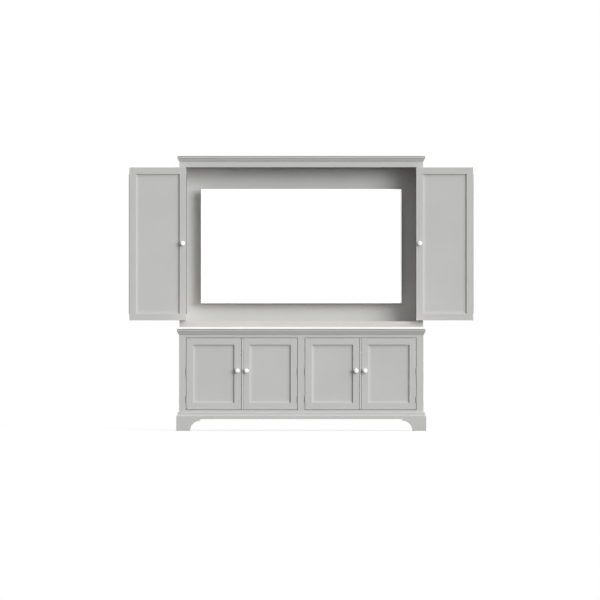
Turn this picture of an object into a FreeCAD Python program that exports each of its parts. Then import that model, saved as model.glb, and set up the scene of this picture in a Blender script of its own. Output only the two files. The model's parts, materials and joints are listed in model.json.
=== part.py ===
import FreeCAD, Part
import math
import os
from FreeCAD import Vector

# TV armoire: a two-bay base on a bracket-foot plinth, and a shallow hutch above it that
# holds a wall-hung television behind two pairs of bifold doors.
# Millimetres. +X is to the right seen from the front, +Y to the rear, +Z up.
# The origin is on the floor, midway between the sides, and midway between the rear edges
# and the tips of the base knobs. At rest the base doors are shut, and each pair of hutch
# leaves is folded back to back and swung flat to its side.

os.makedirs("parts", exist_ok=True)

# ---------------------------------------------------------------- driving sizes
BODY_W = 1760.0          # width over the carcass sides, base and hutch alike
BASE_D = 430.0           # base depth, rear edge to the front of its face frame
HUTCH_D = 224.0          # hutch depth, rear edge to the front of its face frame
BASE_H = 733.0           # floor to the top of the base's own top board
HUTCH_H = 1235.0         # worktop to the top of the hutch cap

FRAME_T = 22.0           # thickness of face frames and of every door
STILE_W = 50.0           # face-frame stiles and the middle stile of the base
BOARD_T = 18.0           # carcass boards, shelves and rails behind the back
BACK_T = 6.0             # back panels

PLINTH_T = 20.0          # plinth boards stand this far proud of the carcass
PLINTH_H = 104.0         # height of the plinth boards
FOOT_W = 99.5            # width of a bracket foot at the floor
FOOT_ARC_R = 74.0        # quarter-round cut beside each foot
APRON_STEP = 11.0        # square step from that cut up to the apron
CARCASS_LAP = 16.0       # base carcass down behind the plinth boards
BLOCK_W = 62.0           # glue block behind each foot
BLOCK_CHAMFER = 24.0
PLINTH_MOULD_H = 33.5    # moulding on top of the plinth boards
MOULD_TOE_H = 2.0        # square edge at the foot of that moulding
MOULD_HOLLOW_SAG = 2.2   # depth of its hollow sweep
MOULD_NECK_OUT = 9.4     # projection and height of the quirk under its bead
MOULD_NECK_H = 20.5
MOULD_QUIRK_W = 1.2
MOULD_QUIRK_H = 1.5
MOULD_BEAD_SAG = 2.9
MOULD_TOP_OUT = 3.0

BASE_SILL_H = 13.0       # bottom rail showing between the moulding and the doors
BASE_HEAD_H = 46.5       # top rail, from the doors to the base top board
SHELF_LIFT = 197.5       # underside of the base shelves above the base floor
SHELF_SETBACK = 20.0     # shelf front edge behind the face frame
SHELF_END_GAP = 1.0
CLEAT_W = 16.0           # cleats that carry the shelves
CLEAT_H = 22.0

TOP_T = 15.0             # base top board and hutch cap
TOP_OVERHANG = 16.5
CORNICE_H = 26.0         # moulding under the base top board and the hutch cap
CORNICE_SQUARE = 2.0     # squares at the foot and the lip of the cornice
CORNICE_FOOT_OUT = 1.5
CORNICE_LIP_SET = 1.0    # lip behind the edge of the board above
CORNICE_SWELL = 1.3      # lower, convex half of its cyma
CORNICE_HOLLOW = 0.45    # upper, concave half
WORKTOP_T = 15.0
WORKTOP_OVERHANG = 20.0
EDGE_R = 2.0             # eased edges of the top boards

HUTCH_SILL_H = 41.0      # bottom rail of the hutch
HUTCH_HEAD_H = 66.5      # top rail of the hutch
CEILING_LIFT = 3.5       # hutch ceiling above the bottom edge of the top rail
BACK_RAIL_H = 90.0       # rails behind the hutch back

DOOR_GAP = 3.0           # round the base doors, and at every hinge
LEAF_GAP_TOP = 2.0
LEAF_GAP_BOTTOM = 6.5
LEAF_GAP_MIDDLE = 4.0    # between the two pairs of leaves when they are shut
MEMBER_W = 48.0          # stiles and rails of every door
MEET_BEAD_W = 10.0       # bead and quirk on the inner base doors' meeting edge
BEAD_RISE = 3.0
QUIRK_W = 1.5
PANEL_T = 6.0
PANEL_SET = 10.0         # door panel behind the door's front face
GROOVE_D = 8.0
PANEL_TONGUE = 7.0       # panel edge inside its groove

BARREL_R = 3.7           # hinge knuckles
PIN_R = 1.7
PIN_CLEAR = 0.05         # radial running clearance of the pins
BARREL_OUT = 4.0         # hinge axis in front of the door face
HINGE_LEAF_CLEAR = 0.4   # between the two leaves of a shut hinge
HINGE_LEAF_W = 14.0
KNUCKLE_GAP = 0.4
KNUCKLE_CLEAR = 0.6      # hinge leaf beside the other side's knuckles
BORE_WALL = 0.4          # knuckle metal between its bore and its leaf
BUTT_L = 47.0
BUTT_LIFTS = (76.5, 277.5)   # centres of the base hinges above the door opening's foot
BUTT_KNUCKLES = 2
STRIP_MARGIN = 48.0      # continuous hinges of the hutch, short of each end of a leaf
STRIP_KNUCKLES = 2

KNOB_R = 16.0
KNOB_OUT = 28.0
KNOB_NECK_R = 7.0
KNOB_HEAD_T = 14.0       # rim and dome together
KNOB_RIM_T = 9.0
KNOB_FACE_R = 11.5
KNOB_INSET = 26.0        # from the meeting edge of the door
BASE_KNOB_DROP = 238.5   # below the top of the base door openings
HUTCH_KNOB_LIFT = 562.0  # above the foot of the hutch opening

CATCH_W = 44.0
CATCH_D = 14.0
CATCH_H = 34.0
CATCH_DROP = 15.0        # magnet nose below the top rail
CATCH_NOSE_W = 30.0
CATCH_LIFT = 2.0         # catch body above the bottom edge of the top rail
STRIKE_W = 24.0
STRIKE_H = 12.0
STRIKE_INSET = 1.0       # below the top edge of the door
STRIKE_T = 1.2
CATCH_AIR = 0.8          # between magnet and strike plate

PORT_R = 30.0            # cable ports in the backs
BASE_PORT_DROP = 158.0   # below the base top board
HUTCH_PORT_X = 480.0     # behind the television, clear of its bracket
HUTCH_PORT_DROP = 330.0  # below the middle of the television


TV_W = 1450.0
TV_H = 825.0
TV_DROP = 13.0           # television centre below the middle of the hutch opening
TV_OUT = 87.0            # front of the screen before the back panel
TV_EDGE_T = 27.0         # thickness of the slim part of the set
BEZEL_W = 7.0
BEZEL_T = 12.0
SCREEN_T = 3.0
SCREEN_SET = 1.0         # glass behind the bezel's front
HOUSING_W = 1040.0       # deeper electronics housing on the back of the set
HOUSING_H = 480.0
HOUSING_TAPER = 14.0
VESA = 400.0             # mounting-hole spacing on the back of the set
PLATE_T = 3.0
PLATE_W = 640.0
PLATE_H = 220.0
PLATE_RAIL_H = 40.0      # its two long rails and its two end straps
ARM_W = 30.0
ARM_H = 460.0
ARM_WALL = 2.5

# ---------------------------------------------------------------- places
HALF_W = BODY_W / 2
REAR_Y = (BASE_D + KNOB_OUT) / 2
BASE_Y = REAR_Y - BASE_D             # front of the base face frame
HUTCH_Y = REAR_Y - HUTCH_D           # front of the hutch face frame
OPEN_X = HALF_W - STILE_W            # half-width of both openings
SIDE_X = HALF_W - BOARD_T            # inner face of the carcass sides
APRON_Z = FOOT_ARC_R + APRON_STEP    # underside of the apron between the feet
CARCASS_Z = PLINTH_H - CARCASS_LAP   # underside of the base carcass
BASE_OPEN_Z = PLINTH_H + PLINTH_MOULD_H + BASE_SILL_H
BASE_TOP_Z = BASE_H - TOP_T          # underside of the base top board
BASE_OPEN_TOP = BASE_TOP_Z - BASE_HEAD_H
SHELF_Z = BASE_OPEN_Z + SHELF_LIFT
BASE_KNOB_Z = BASE_OPEN_TOP - BASE_KNOB_DROP
BASE_PORT_Z = BASE_TOP_Z - BASE_PORT_DROP
WORKTOP_Z = BASE_H + WORKTOP_T       # working surface
HUTCH_OPEN_Z = WORKTOP_Z + HUTCH_SILL_H
CAP_Z = WORKTOP_Z + HUTCH_H - TOP_T  # underside of the hutch cap
HUTCH_OPEN_TOP = CAP_Z - HUTCH_HEAD_H
HUTCH_KNOB_Z = HUTCH_OPEN_Z + HUTCH_KNOB_LIFT
BACK_Y = REAR_Y - BOARD_T - BACK_T   # front of the hutch back panel
BASE_BACK_Y = REAR_Y - BACK_T        # front of the base back panel
TV_Z = (HUTCH_OPEN_Z + HUTCH_OPEN_TOP) / 2 - TV_DROP
HUTCH_PORT_Z = TV_Z - HUTCH_PORT_DROP


# ---------------------------------------------------------------- helpers
def block(x0, x1, y0, y1, z0, z1):
    """A box between two corners, given in any order."""
    low = Vector(min(x0, x1), min(y0, y1), min(z0, z1))
    return Part.makeBox(abs(x1 - x0), abs(y1 - y0), abs(z1 - z0), low)


def plan_prism(points, z0, z1):
    """A polygon in plan, given as (x, y), raised from z0 to z1."""
    wire = Part.makePolygon([Vector(x, y, z0) for x, y in points + points[:1]])
    return Part.Face(wire).extrude(Vector(0, 0, z1 - z0))


def rod(x, y, z, radius, length, axis=Vector(0, 0, 1)):
    return Part.makeCylinder(radius, length, Vector(x, y, z), axis)


def tube(x, y, z, outer, inner, length, axis=Vector(0, 0, 1)):
    return rod(x, y, z, outer, length, axis).cut(rod(x, y, z, inner, length, axis))


def mirrored(shape):
    """The same piece on the other side of the middle plane."""
    return shape.mirror(Vector(0, 0, 0), Vector(1, 0, 0))


def both_sides(shape):
    return [shape, mirrored(shape)]


def edge_at(*points):
    """A straight edge through two (u, v) points or an arc through three."""
    ends = [Vector(u, v, 0) for u, v in points]
    if len(ends) == 2:
        return Part.makeLine(*ends)
    return Part.Arc(*ends).toShape()


def bowed(start, end, sag):
    """An arc that stands off its chord by sag, to the left on the way to its end."""
    (u0, v0), (u1, v1) = start, end
    chord = math.hypot(u1 - u0, v1 - v0)
    crown = ((u0 + u1) / 2 - sag * (v1 - v0) / chord, (v0 + v1) / 2 + sag * (u1 - u0) / chord)
    return edge_at(start, crown, end)


def save(name, solids):
    """Write one named piece, as one solid or as a group of separate solids."""
    shape = solids[0] if len(solids) == 1 else Part.makeCompound(solids)
    shape.exportStep("parts/" + name + ".step")


# ---------------------------------------------------------------- mouldings and top boards
def cornice_section():
    """Crown section as edges in (out, up): a small square, a cyma, and a flat top."""
    foot = (CORNICE_FOOT_OUT, CORNICE_SQUARE)
    lip = (TOP_OVERHANG - CORNICE_LIP_SET, CORNICE_H - CORNICE_SQUARE)
    middle = ((foot[0] + lip[0]) / 2, (foot[1] + lip[1]) / 2)
    return [
        edge_at((0, 0), (foot[0], 0)),
        edge_at((foot[0], 0), foot),
        bowed(foot, middle, -CORNICE_SWELL),
        bowed(middle, lip, CORNICE_HOLLOW),
        edge_at(lip, (lip[0], CORNICE_H)),
        edge_at((lip[0], CORNICE_H), (0, CORNICE_H)),
        edge_at((0, CORNICE_H), (0, 0)),
    ]


def plinth_section():
    """Base moulding section in (out, up): a hollow sweep with a bead above it."""
    toe = (PLINTH_T, MOULD_TOE_H)
    neck = (MOULD_NECK_OUT, MOULD_NECK_H)
    hollow_top = (neck[0] + MOULD_QUIRK_W, neck[1] - MOULD_QUIRK_H)
    bead_top = (MOULD_TOP_OUT, PLINTH_MOULD_H)
    return [
        edge_at((0, 0), (PLINTH_T, 0)),
        edge_at((PLINTH_T, 0), toe),
        bowed(toe, hollow_top, MOULD_HOLLOW_SAG),
        edge_at(hollow_top, neck),
        bowed(neck, bead_top, -MOULD_BEAD_SAG),
        edge_at(bead_top, (0, PLINTH_MOULD_H)),
        edge_at((0, PLINTH_MOULD_H), (0, 0)),
    ]


def mitre_wedges(front_y, reach, z0, z1):
    """The room for a mitred band round a body: (front wedge, right-hand wedge)."""
    corner_in = (HALF_W, front_y)
    corner_out = (HALF_W + reach, front_y - reach)
    front = plan_prism(
        [(-HALF_W, front_y), corner_in, corner_out, (-HALF_W - reach, front_y - reach)],
        z0, z1)
    side = plan_prism(
        [corner_in, corner_out, (HALF_W + reach, REAR_Y), (HALF_W, REAR_Y)], z0, z1)
    return front, side


def mitred_moulding(section, reach, height, front_y, z):
    """A moulding along the front and both sides of a body, mitred at its front corners."""
    face = Part.Face(Part.Wire(section))
    out_is_front = FreeCAD.Matrix(0, 0, 1, -HALF_W - reach,
                                  -1, 0, 0, front_y,
                                  0, 1, 0, z)
    out_is_right = FreeCAD.Matrix(1, 0, 0, HALF_W,
                                  0, 0, -1, REAR_Y,
                                  0, 1, 0, z)
    run = face.copy()
    run.transformShape(out_is_front)
    front_run = run.extrude(Vector(BODY_W + 2 * reach, 0, 0))
    run = face.copy()
    run.transformShape(out_is_right)
    side_run = run.extrude(Vector(0, front_y - reach - REAR_Y, 0))
    front_room, side_room = mitre_wedges(front_y, reach, z, z + height)
    return [front_run.common(front_room).Solids[0]] + both_sides(
        side_run.common(side_room).Solids[0])


def top_board(front_y, overhang, z, thickness):
    """A board over the whole body, its front and side edges eased above."""
    board = block(-HALF_W - overhang, HALF_W + overhang, front_y - overhang, REAR_Y,
                  z, z + thickness)
    eased = [e for e in board.Edges
             if all(abs(v.Z - z - thickness) < 1e-6 for v in e.Vertexes)
             and e.CenterOfMass.y < REAR_Y - 1]
    return board.makeFillet(EDGE_R, eased)


# ---------------------------------------------------------------- plinth
def bracket_board(length):
    """A plinth board in (along, up), from 0 to length, cut to two bracket feet."""
    arc_end = FOOT_W + FOOT_ARC_R
    diagonal = FOOT_ARC_R * math.sqrt(0.5)
    left_mid = (arc_end - diagonal, diagonal)
    right_mid = (length - arc_end + diagonal, diagonal)
    edges = [
        edge_at((0, 0), (FOOT_W, 0)),
        edge_at((FOOT_W, 0), left_mid, (arc_end, FOOT_ARC_R)),
        edge_at((arc_end, FOOT_ARC_R), (arc_end, APRON_Z)),
        edge_at((arc_end, APRON_Z), (length - arc_end, APRON_Z)),
        edge_at((length - arc_end, APRON_Z), (length - arc_end, FOOT_ARC_R)),
        edge_at((length - arc_end, FOOT_ARC_R), right_mid, (length - FOOT_W, 0)),
        edge_at((length - FOOT_W, 0), (length, 0)),
        edge_at((length, 0), (length, PLINTH_H)),
        edge_at((length, PLINTH_H), (0, PLINTH_H)),
        edge_at((0, PLINTH_H), (0, 0)),
    ]
    return Part.Face(Part.Wire(edges))


def plinth():
    front_length = BODY_W + 2 * PLINTH_T
    side_length = BASE_D + PLINTH_T
    front = bracket_board(front_length)
    front.transformShape(FreeCAD.Matrix(1, 0, 0, -front_length / 2,
                                        0, 0, 1, BASE_Y - PLINTH_T,
                                        0, 1, 0, 0))
    side = bracket_board(side_length)
    side.transformShape(FreeCAD.Matrix(0, 0, 1, HALF_W,
                                       1, 0, 0, BASE_Y - PLINTH_T,
                                       0, 1, 0, 0))
    front_room, side_room = mitre_wedges(BASE_Y, PLINTH_T, 0, PLINTH_H)
    front_board = front.extrude(Vector(0, PLINTH_T, 0)).common(front_room).Solids[0]
    side_board = side.extrude(Vector(PLINTH_T, 0, 0)).common(side_room).Solids[0]
    save("plinth_boards", [front_board] + both_sides(side_board))
    save("plinth_moulding", mitred_moulding(
        plinth_section(), PLINTH_T, PLINTH_MOULD_H, BASE_Y, PLINTH_H))

    blocks = []
    for corner_y, inward in ((BASE_Y, 1), (REAR_Y, -1)):
        far_x, far_y = HALF_W - BLOCK_W, corner_y + inward * BLOCK_W
        outline = [
            (HALF_W, corner_y), (HALF_W, far_y),
            (far_x + BLOCK_CHAMFER, far_y), (far_x, far_y - inward * BLOCK_CHAMFER),
            (far_x, corner_y),
        ]
        blocks += both_sides(plan_prism(outline, 0, CARCASS_Z))
    save("corner_blocks", blocks)


# ---------------------------------------------------------------- base carcass
def base_carcass():
    inner_y = BASE_Y + FRAME_T
    floor_z = BASE_OPEN_Z - BOARD_T
    save("base_sides", both_sides(
        block(SIDE_X, HALF_W, inner_y, REAR_Y, CARCASS_Z, BASE_TOP_Z)))
    save("base_floor", [
        block(-SIDE_X, SIDE_X, inner_y, BASE_BACK_Y, floor_z, BASE_OPEN_Z)])
    save("base_divider", [
        block(-BOARD_T / 2, BOARD_T / 2, inner_y, BASE_BACK_Y, BASE_OPEN_Z, BASE_TOP_Z)])
    save("base_face_frame", both_sides(
        block(OPEN_X, HALF_W, BASE_Y, inner_y, CARCASS_Z, BASE_TOP_Z)) + [
        block(-STILE_W / 2, STILE_W / 2, BASE_Y, inner_y, BASE_OPEN_Z, BASE_OPEN_TOP),
        block(-OPEN_X, OPEN_X, BASE_Y, inner_y, CARCASS_Z, BASE_OPEN_Z),
        block(-OPEN_X, OPEN_X, BASE_Y, inner_y, BASE_OPEN_TOP, BASE_TOP_Z)])
    back = block(-SIDE_X, SIDE_X, BASE_BACK_Y, REAR_Y, CARCASS_Z, BASE_TOP_Z)
    for x in base_port_places():
        back = back.cut(rod(x, BASE_BACK_Y, BASE_PORT_Z, PORT_R, BACK_T, Vector(0, 1, 0)))
    save("base_back", [back])
    save("base_top_board", [top_board(BASE_Y, TOP_OVERHANG, BASE_TOP_Z, TOP_T)])
    save("base_cornice", mitred_moulding(
        cornice_section(), TOP_OVERHANG, CORNICE_H, BASE_Y, BASE_TOP_Z - CORNICE_H))
    save("worktop", [top_board(BASE_Y, WORKTOP_OVERHANG, BASE_H, WORKTOP_T)])


def bay_middle():
    """Middle of the right-hand cupboard, between the divider and the side."""
    return (BOARD_T / 2 + SIDE_X) / 2


def base_port_places():
    return (-bay_middle(), bay_middle())


def shelves():
    front_y, rear_y = BASE_Y + FRAME_T + SHELF_SETBACK, BASE_BACK_Y - SHELF_END_GAP
    inner_x, outer_x = BOARD_T / 2 + SHELF_END_GAP, SIDE_X - SHELF_END_GAP
    save("base_shelves", both_sides(
        block(inner_x, outer_x, front_y, rear_y, SHELF_Z, SHELF_Z + BOARD_T)))
    cleat = block(inner_x - SHELF_END_GAP, inner_x - SHELF_END_GAP + CLEAT_W,
                  front_y, rear_y, SHELF_Z - CLEAT_H, SHELF_Z)
    outer_cleat = block(SIDE_X - CLEAT_W, SIDE_X, front_y, rear_y, SHELF_Z - CLEAT_H, SHELF_Z)
    save("shelf_cleats", both_sides(cleat) + both_sides(outer_cleat))


# ---------------------------------------------------------------- hutch
def hutch():
    inner_y = HUTCH_Y + FRAME_T
    ceiling_z = HUTCH_OPEN_TOP + CEILING_LIFT
    save("hutch_sides", both_sides(
        block(SIDE_X, HALF_W, inner_y, REAR_Y, WORKTOP_Z, CAP_Z)))
    save("hutch_floor", [
        block(-SIDE_X, SIDE_X, inner_y, BACK_Y, HUTCH_OPEN_Z - BOARD_T, HUTCH_OPEN_Z)])
    save("hutch_ceiling", [
        block(-SIDE_X, SIDE_X, inner_y, BACK_Y, ceiling_z, ceiling_z + BOARD_T)])
    save("hutch_face_frame", both_sides(
        block(OPEN_X, HALF_W, HUTCH_Y, inner_y, WORKTOP_Z, CAP_Z)) + [
        block(-OPEN_X, OPEN_X, HUTCH_Y, inner_y, WORKTOP_Z, HUTCH_OPEN_Z),
        block(-OPEN_X, OPEN_X, HUTCH_Y, inner_y, HUTCH_OPEN_TOP, CAP_Z)])
    save("hutch_cap", [top_board(HUTCH_Y, TOP_OVERHANG, CAP_Z, TOP_T)])
    save("hutch_cornice", mitred_moulding(
        cornice_section(), TOP_OVERHANG, CORNICE_H, HUTCH_Y, CAP_Z - CORNICE_H))

    rail_y = REAR_Y - BOARD_T
    port = rod(HUTCH_PORT_X, BACK_Y, HUTCH_PORT_Z, PORT_R, BACK_T, Vector(0, 1, 0))
    save("hutch_back", [block(-SIDE_X, SIDE_X, BACK_Y, rail_y, WORKTOP_Z, CAP_Z).cut(port)])
    save("hutch_back_rails", [
        block(-SIDE_X, SIDE_X, rail_y, REAR_Y, z, z + BACK_RAIL_H)
        for z in (WORKTOP_Z, TV_Z - BACK_RAIL_H / 2, CAP_Z - BACK_RAIL_H)])


# ---------------------------------------------------------------- doors
def framed_door(x0, x1, z0, z1, front_y, into, bead_at=0):
    """A frame-and-panel door. into is +1 where its thickness runs to the rear of front_y.

    bead_at is -1 or +1 where the left or right edge carries a bead and quirk outside the
    stile. Returns (frame members, panel).
    """
    left_w = MEMBER_W + (MEET_BEAD_W if bead_at < 0 else 0)
    right_w = MEMBER_W + (MEET_BEAD_W if bead_at > 0 else 0)
    in_x0, in_x1 = x0 + left_w, x1 - right_w
    in_z0, in_z1 = z0 + MEMBER_W, z1 - MEMBER_W
    back_y = front_y + into * FRAME_T
    panel_y = front_y + into * PANEL_SET
    panel_back = panel_y + into * PANEL_T
    groove = block(in_x0 - GROOVE_D, in_x1 + GROOVE_D, panel_y, panel_back,
                   in_z0 - GROOVE_D, in_z1 + GROOVE_D)
    stiles = [block(x0, in_x0, front_y, back_y, z0, z1),
              block(in_x1, x1, front_y, back_y, z0, z1)]
    if bead_at:
        edge_x = x0 if bead_at < 0 else x1
        which = 0 if bead_at < 0 else 1
        stiles[which] = beaded(stiles[which], edge_x, -bead_at, front_y, into, z0, z1)
    rails = [block(in_x0, in_x1, front_y, back_y, z0, in_z0),
             block(in_x0, in_x1, front_y, back_y, in_z1, z1)]
    frame = [member.cut(groove) for member in stiles + rails]
    panel = block(in_x0 - PANEL_TONGUE, in_x1 + PANEL_TONGUE, panel_y, panel_back,
                  in_z0 - PANEL_TONGUE, in_z1 + PANEL_TONGUE)
    return frame, panel


def beaded(stile, edge_x, inward, front_y, into, z0, z1):
    """Work a round bead and a quirk into the front arris of a stile."""
    bead_w = MEET_BEAD_W - QUIRK_W
    low_y = front_y + into * BEAD_RISE
    waste = Part.Wire([
        Part.Arc(Vector(edge_x, low_y, z0),
                 Vector(edge_x + inward * bead_w / 2, front_y, z0),
                 Vector(edge_x + inward * bead_w, low_y, z0)).toShape(),
        Part.makePolygon([
            Vector(edge_x + inward * bead_w, low_y, z0),
            Vector(edge_x + inward * MEET_BEAD_W, low_y, z0),
            Vector(edge_x + inward * MEET_BEAD_W, front_y - into, z0),
            Vector(edge_x - inward, front_y - into, z0),
            Vector(edge_x - inward, low_y, z0),
            Vector(edge_x, low_y, z0),
        ]),
    ])
    return stile.cut(Part.Face(waste).extrude(Vector(0, 0, z1 - z0)))


def knob(x, face_y, z):
    """A turned knob on a straight neck, pointing to the front."""
    under_y = face_y - KNOB_OUT + KNOB_HEAD_T
    points = [(0, face_y), (KNOB_NECK_R, face_y), (KNOB_NECK_R, under_y), (KNOB_R, under_y),
              (KNOB_R, under_y - KNOB_RIM_T), (KNOB_FACE_R, face_y - KNOB_OUT),
              (0, face_y - KNOB_OUT), (0, face_y)]
    outline = Part.makePolygon([Vector(x + radius, y, z) for radius, y in points])
    return Part.Face(outline).revolve(Vector(x, face_y, z), Vector(0, 1, 0), 360)


# ---------------------------------------------------------------- hinges
def knuckle_spans(z0, length, count):
    """Height spans of the knuckles, the even ones on the fixed side."""
    pitch = length / count
    return [(z0 + i * pitch + (KNUCKLE_GAP / 2 if i else 0),
             z0 + (i + 1) * pitch - (KNUCKLE_GAP / 2 if i < count - 1 else 0))
            for i in range(count)]


def hinge_leaf(axis_x, axis_y, spans, z0, length, side, toward):
    """One leaf with its knuckles. The leaf lies to the side (-1 or +1) of the axis plane
    and runs away from the axis along Y (toward is -1 or +1)."""
    near_x = axis_x + side * HINGE_LEAF_CLEAR / 2
    far_x = axis_x + side * DOOR_GAP / 2
    start_y = axis_y + toward * (BARREL_R + KNUCKLE_CLEAR)
    leaf = block(near_x, far_x, start_y, start_y + toward * HINGE_LEAF_W, z0, z0 + length)
    bore_r = PIN_R + PIN_CLEAR
    for low, high in spans:
        leaf = leaf.fuse(block(near_x, far_x, axis_y + toward * (bore_r + BORE_WALL), start_y,
                               low, high))
        leaf = leaf.fuse(tube(axis_x, axis_y, low, BARREL_R, bore_r, high - low))
    return leaf.removeSplitter().Solids[0]


def hinge(axis_x, axis_y, z0, length, count, fixed, moving):
    """A pinned hinge: (fixed leaf with its pin, moving leaf). Each is (side, toward)."""
    spans = knuckle_spans(z0, length, count)
    pin = rod(axis_x, axis_y, z0, PIN_R, length)
    fixed_leaf = hinge_leaf(axis_x, axis_y, spans[0::2], z0, length, *fixed)
    moving_leaf = hinge_leaf(axis_x, axis_y, spans[1::2], z0, length, *moving)
    return fixed_leaf.fuse(pin).removeSplitter().Solids[0], moving_leaf


# ---------------------------------------------------------------- base doors
def base_doors():
    z0, z1 = BASE_OPEN_Z + DOOR_GAP, BASE_OPEN_TOP - DOOR_GAP
    bay_w = OPEN_X - STILE_W / 2
    plain_w = (bay_w - 3 * DOOR_GAP - MEET_BEAD_W) / 2
    outer_x1 = OPEN_X - DOOR_GAP
    outer_x0 = outer_x1 - plain_w
    inner_x0 = STILE_W / 2 + DOOR_GAP
    inner_x1 = inner_x0 + plain_w + MEET_BEAD_W
    fixed_parts = []

    # (door numbers left and right, span, hinge gap, hinge side of the door, bead, knob)
    kinds = (
        ((1, 4), (outer_x0, outer_x1), OPEN_X - DOOR_GAP / 2, 1, 0, outer_x0 + KNOB_INSET),
        ((2, 3), (inner_x0, inner_x1), STILE_W / 2 + DOOR_GAP / 2, -1, 1,
         inner_x1 - MEET_BEAD_W - KNOB_INSET),
    )
    for (left, right), (x0, x1), axis_x, hinge_side, bead_at, knob_x in kinds:
        frame, panel = framed_door(x0, x1, z0, z1, BASE_Y, 1, bead_at)
        hardware = []
        for lift in BUTT_LIFTS:
            fixed_leaf, moving_leaf = hinge(
                axis_x, BASE_Y - BARREL_OUT, BASE_OPEN_Z + lift - BUTT_L / 2, BUTT_L,
                BUTT_KNUCKLES,
                (hinge_side, 1), (-hinge_side, 1))
            fixed_parts += both_sides(fixed_leaf)
            hardware.append(moving_leaf)
        hardware += [strike_plate(knob_x, z1), knob(knob_x, BASE_Y, BASE_KNOB_Z)]
        for number, place in ((right, lambda s: s), (left, mirrored)):
            name = "base_door_%d" % number
            save(name + "_frame", [place(member) for member in frame])
            save(name + "_panel", [place(panel)])
            save(name + "_hardware", [place(piece) for piece in hardware])
    save("base_hinges", fixed_parts)
    catches = [catch(x) for x in (outer_x0 + KNOB_INSET,
                                  inner_x1 - MEET_BEAD_W - KNOB_INSET)]
    save("door_catches", [piece for one in catches for piece in both_sides(one)])


def strike_plate(x, door_top):
    back_y = BASE_Y + FRAME_T
    return block(x - STRIKE_W / 2, x + STRIKE_W / 2, back_y, back_y + STRIKE_T,
                 door_top - STRIKE_INSET - STRIKE_H, door_top - STRIKE_INSET)


def catch(x):
    """A magnetic catch on the back of the base top rail, its nose behind the door."""
    back_y = BASE_Y + FRAME_T
    foot_z = BASE_OPEN_TOP + CATCH_LIFT
    body = block(x - CATCH_W / 2, x + CATCH_W / 2, back_y, back_y + CATCH_D,
                 foot_z, BASE_OPEN_TOP - CATCH_DROP + CATCH_H)
    nose = block(x - CATCH_NOSE_W / 2, x + CATCH_NOSE_W / 2,
                 back_y + STRIKE_T + CATCH_AIR, back_y + CATCH_D,
                 BASE_OPEN_TOP - CATCH_DROP, foot_z)
    return body.fuse(nose).removeSplitter().Solids[0]


# ---------------------------------------------------------------- hutch leaves
def hutch_leaves():
    z0 = HUTCH_OPEN_Z + LEAF_GAP_BOTTOM
    z1 = HUTCH_OPEN_TOP - LEAF_GAP_TOP
    strip_z, strip_l = z0 + STRIP_MARGIN, z1 - z0 - 2 * STRIP_MARGIN
    shut_room = OPEN_X - 2 * DOOR_GAP - LEAF_GAP_MIDDLE / 2
    leaf_w = shut_room / 2
    jamb_x, jamb_y = OPEN_X - DOOR_GAP / 2, HUTCH_Y - BARREL_OUT

    # the jamb leaf is turned through half a turn about the jamb axis, so it faces the rear
    near_x = 2 * jamb_x - (OPEN_X - DOOR_GAP)
    far_x = near_x + leaf_w
    jamb_front = 2 * jamb_y - HUTCH_Y
    fold_x = far_x + DOOR_GAP / 2
    fold_y = jamb_front - FRAME_T - BARREL_OUT
    # the outer leaf lies back to back with it, so it faces the front
    outer_front = fold_y - BARREL_OUT - FRAME_T

    jamb_frame, jamb_panel = framed_door(near_x, far_x, z0, z1, jamb_front, -1)
    outer_frame, outer_panel = framed_door(near_x, far_x, z0, z1, outer_front, 1)
    jamb_fixed, jamb_moving = hinge(
        jamb_x, jamb_y, strip_z, strip_l, STRIP_KNUCKLES, (1, 1), (1, -1))
    fold_fixed, fold_moving = hinge(
        fold_x, fold_y, strip_z, strip_l, STRIP_KNUCKLES, (-1, 1), (-1, -1))
    knob_x = near_x + KNOB_INSET
    pull = knob(knob_x, outer_front, HUTCH_KNOB_Z)

    for side, place in (("right", lambda s: s), ("left", mirrored)):
        save(side + "_jamb_leaf_frame", [place(member) for member in jamb_frame])
        save(side + "_jamb_leaf_panel", [place(jamb_panel)])
        save(side + "_jamb_leaf_hinges", [place(jamb_moving), place(fold_fixed)])
        save(side + "_outer_leaf_frame", [place(member) for member in outer_frame])
        save(side + "_outer_leaf_panel", [place(outer_panel)])
        save(side + "_outer_leaf_hardware", [place(fold_moving), place(pull)])
    save("hutch_hinges", both_sides(jamb_fixed))


# ---------------------------------------------------------------- television
def mitred_strips(half_w, half_h, strip_w, y0, y1):
    """Four strips round the set, mitred at its corners, their outer edges at the half sizes."""
    in_w, in_h = half_w - strip_w, half_h - strip_w
    outer = [(-half_w, -half_h), (half_w, -half_h), (half_w, half_h), (-half_w, half_h)]
    inner = [(-in_w, -in_h), (in_w, -in_h), (in_w, in_h), (-in_w, in_h)]
    strips = []
    for i in range(4):
        j = (i + 1) % 4
        loop = [outer[i], outer[j], inner[j], inner[i], outer[i]]
        wire = Part.makePolygon([Vector(x, y0, TV_Z + z) for x, z in loop])
        strips.append(Part.Face(wire).extrude(Vector(0, y1 - y0, 0)))
    return strips


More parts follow.
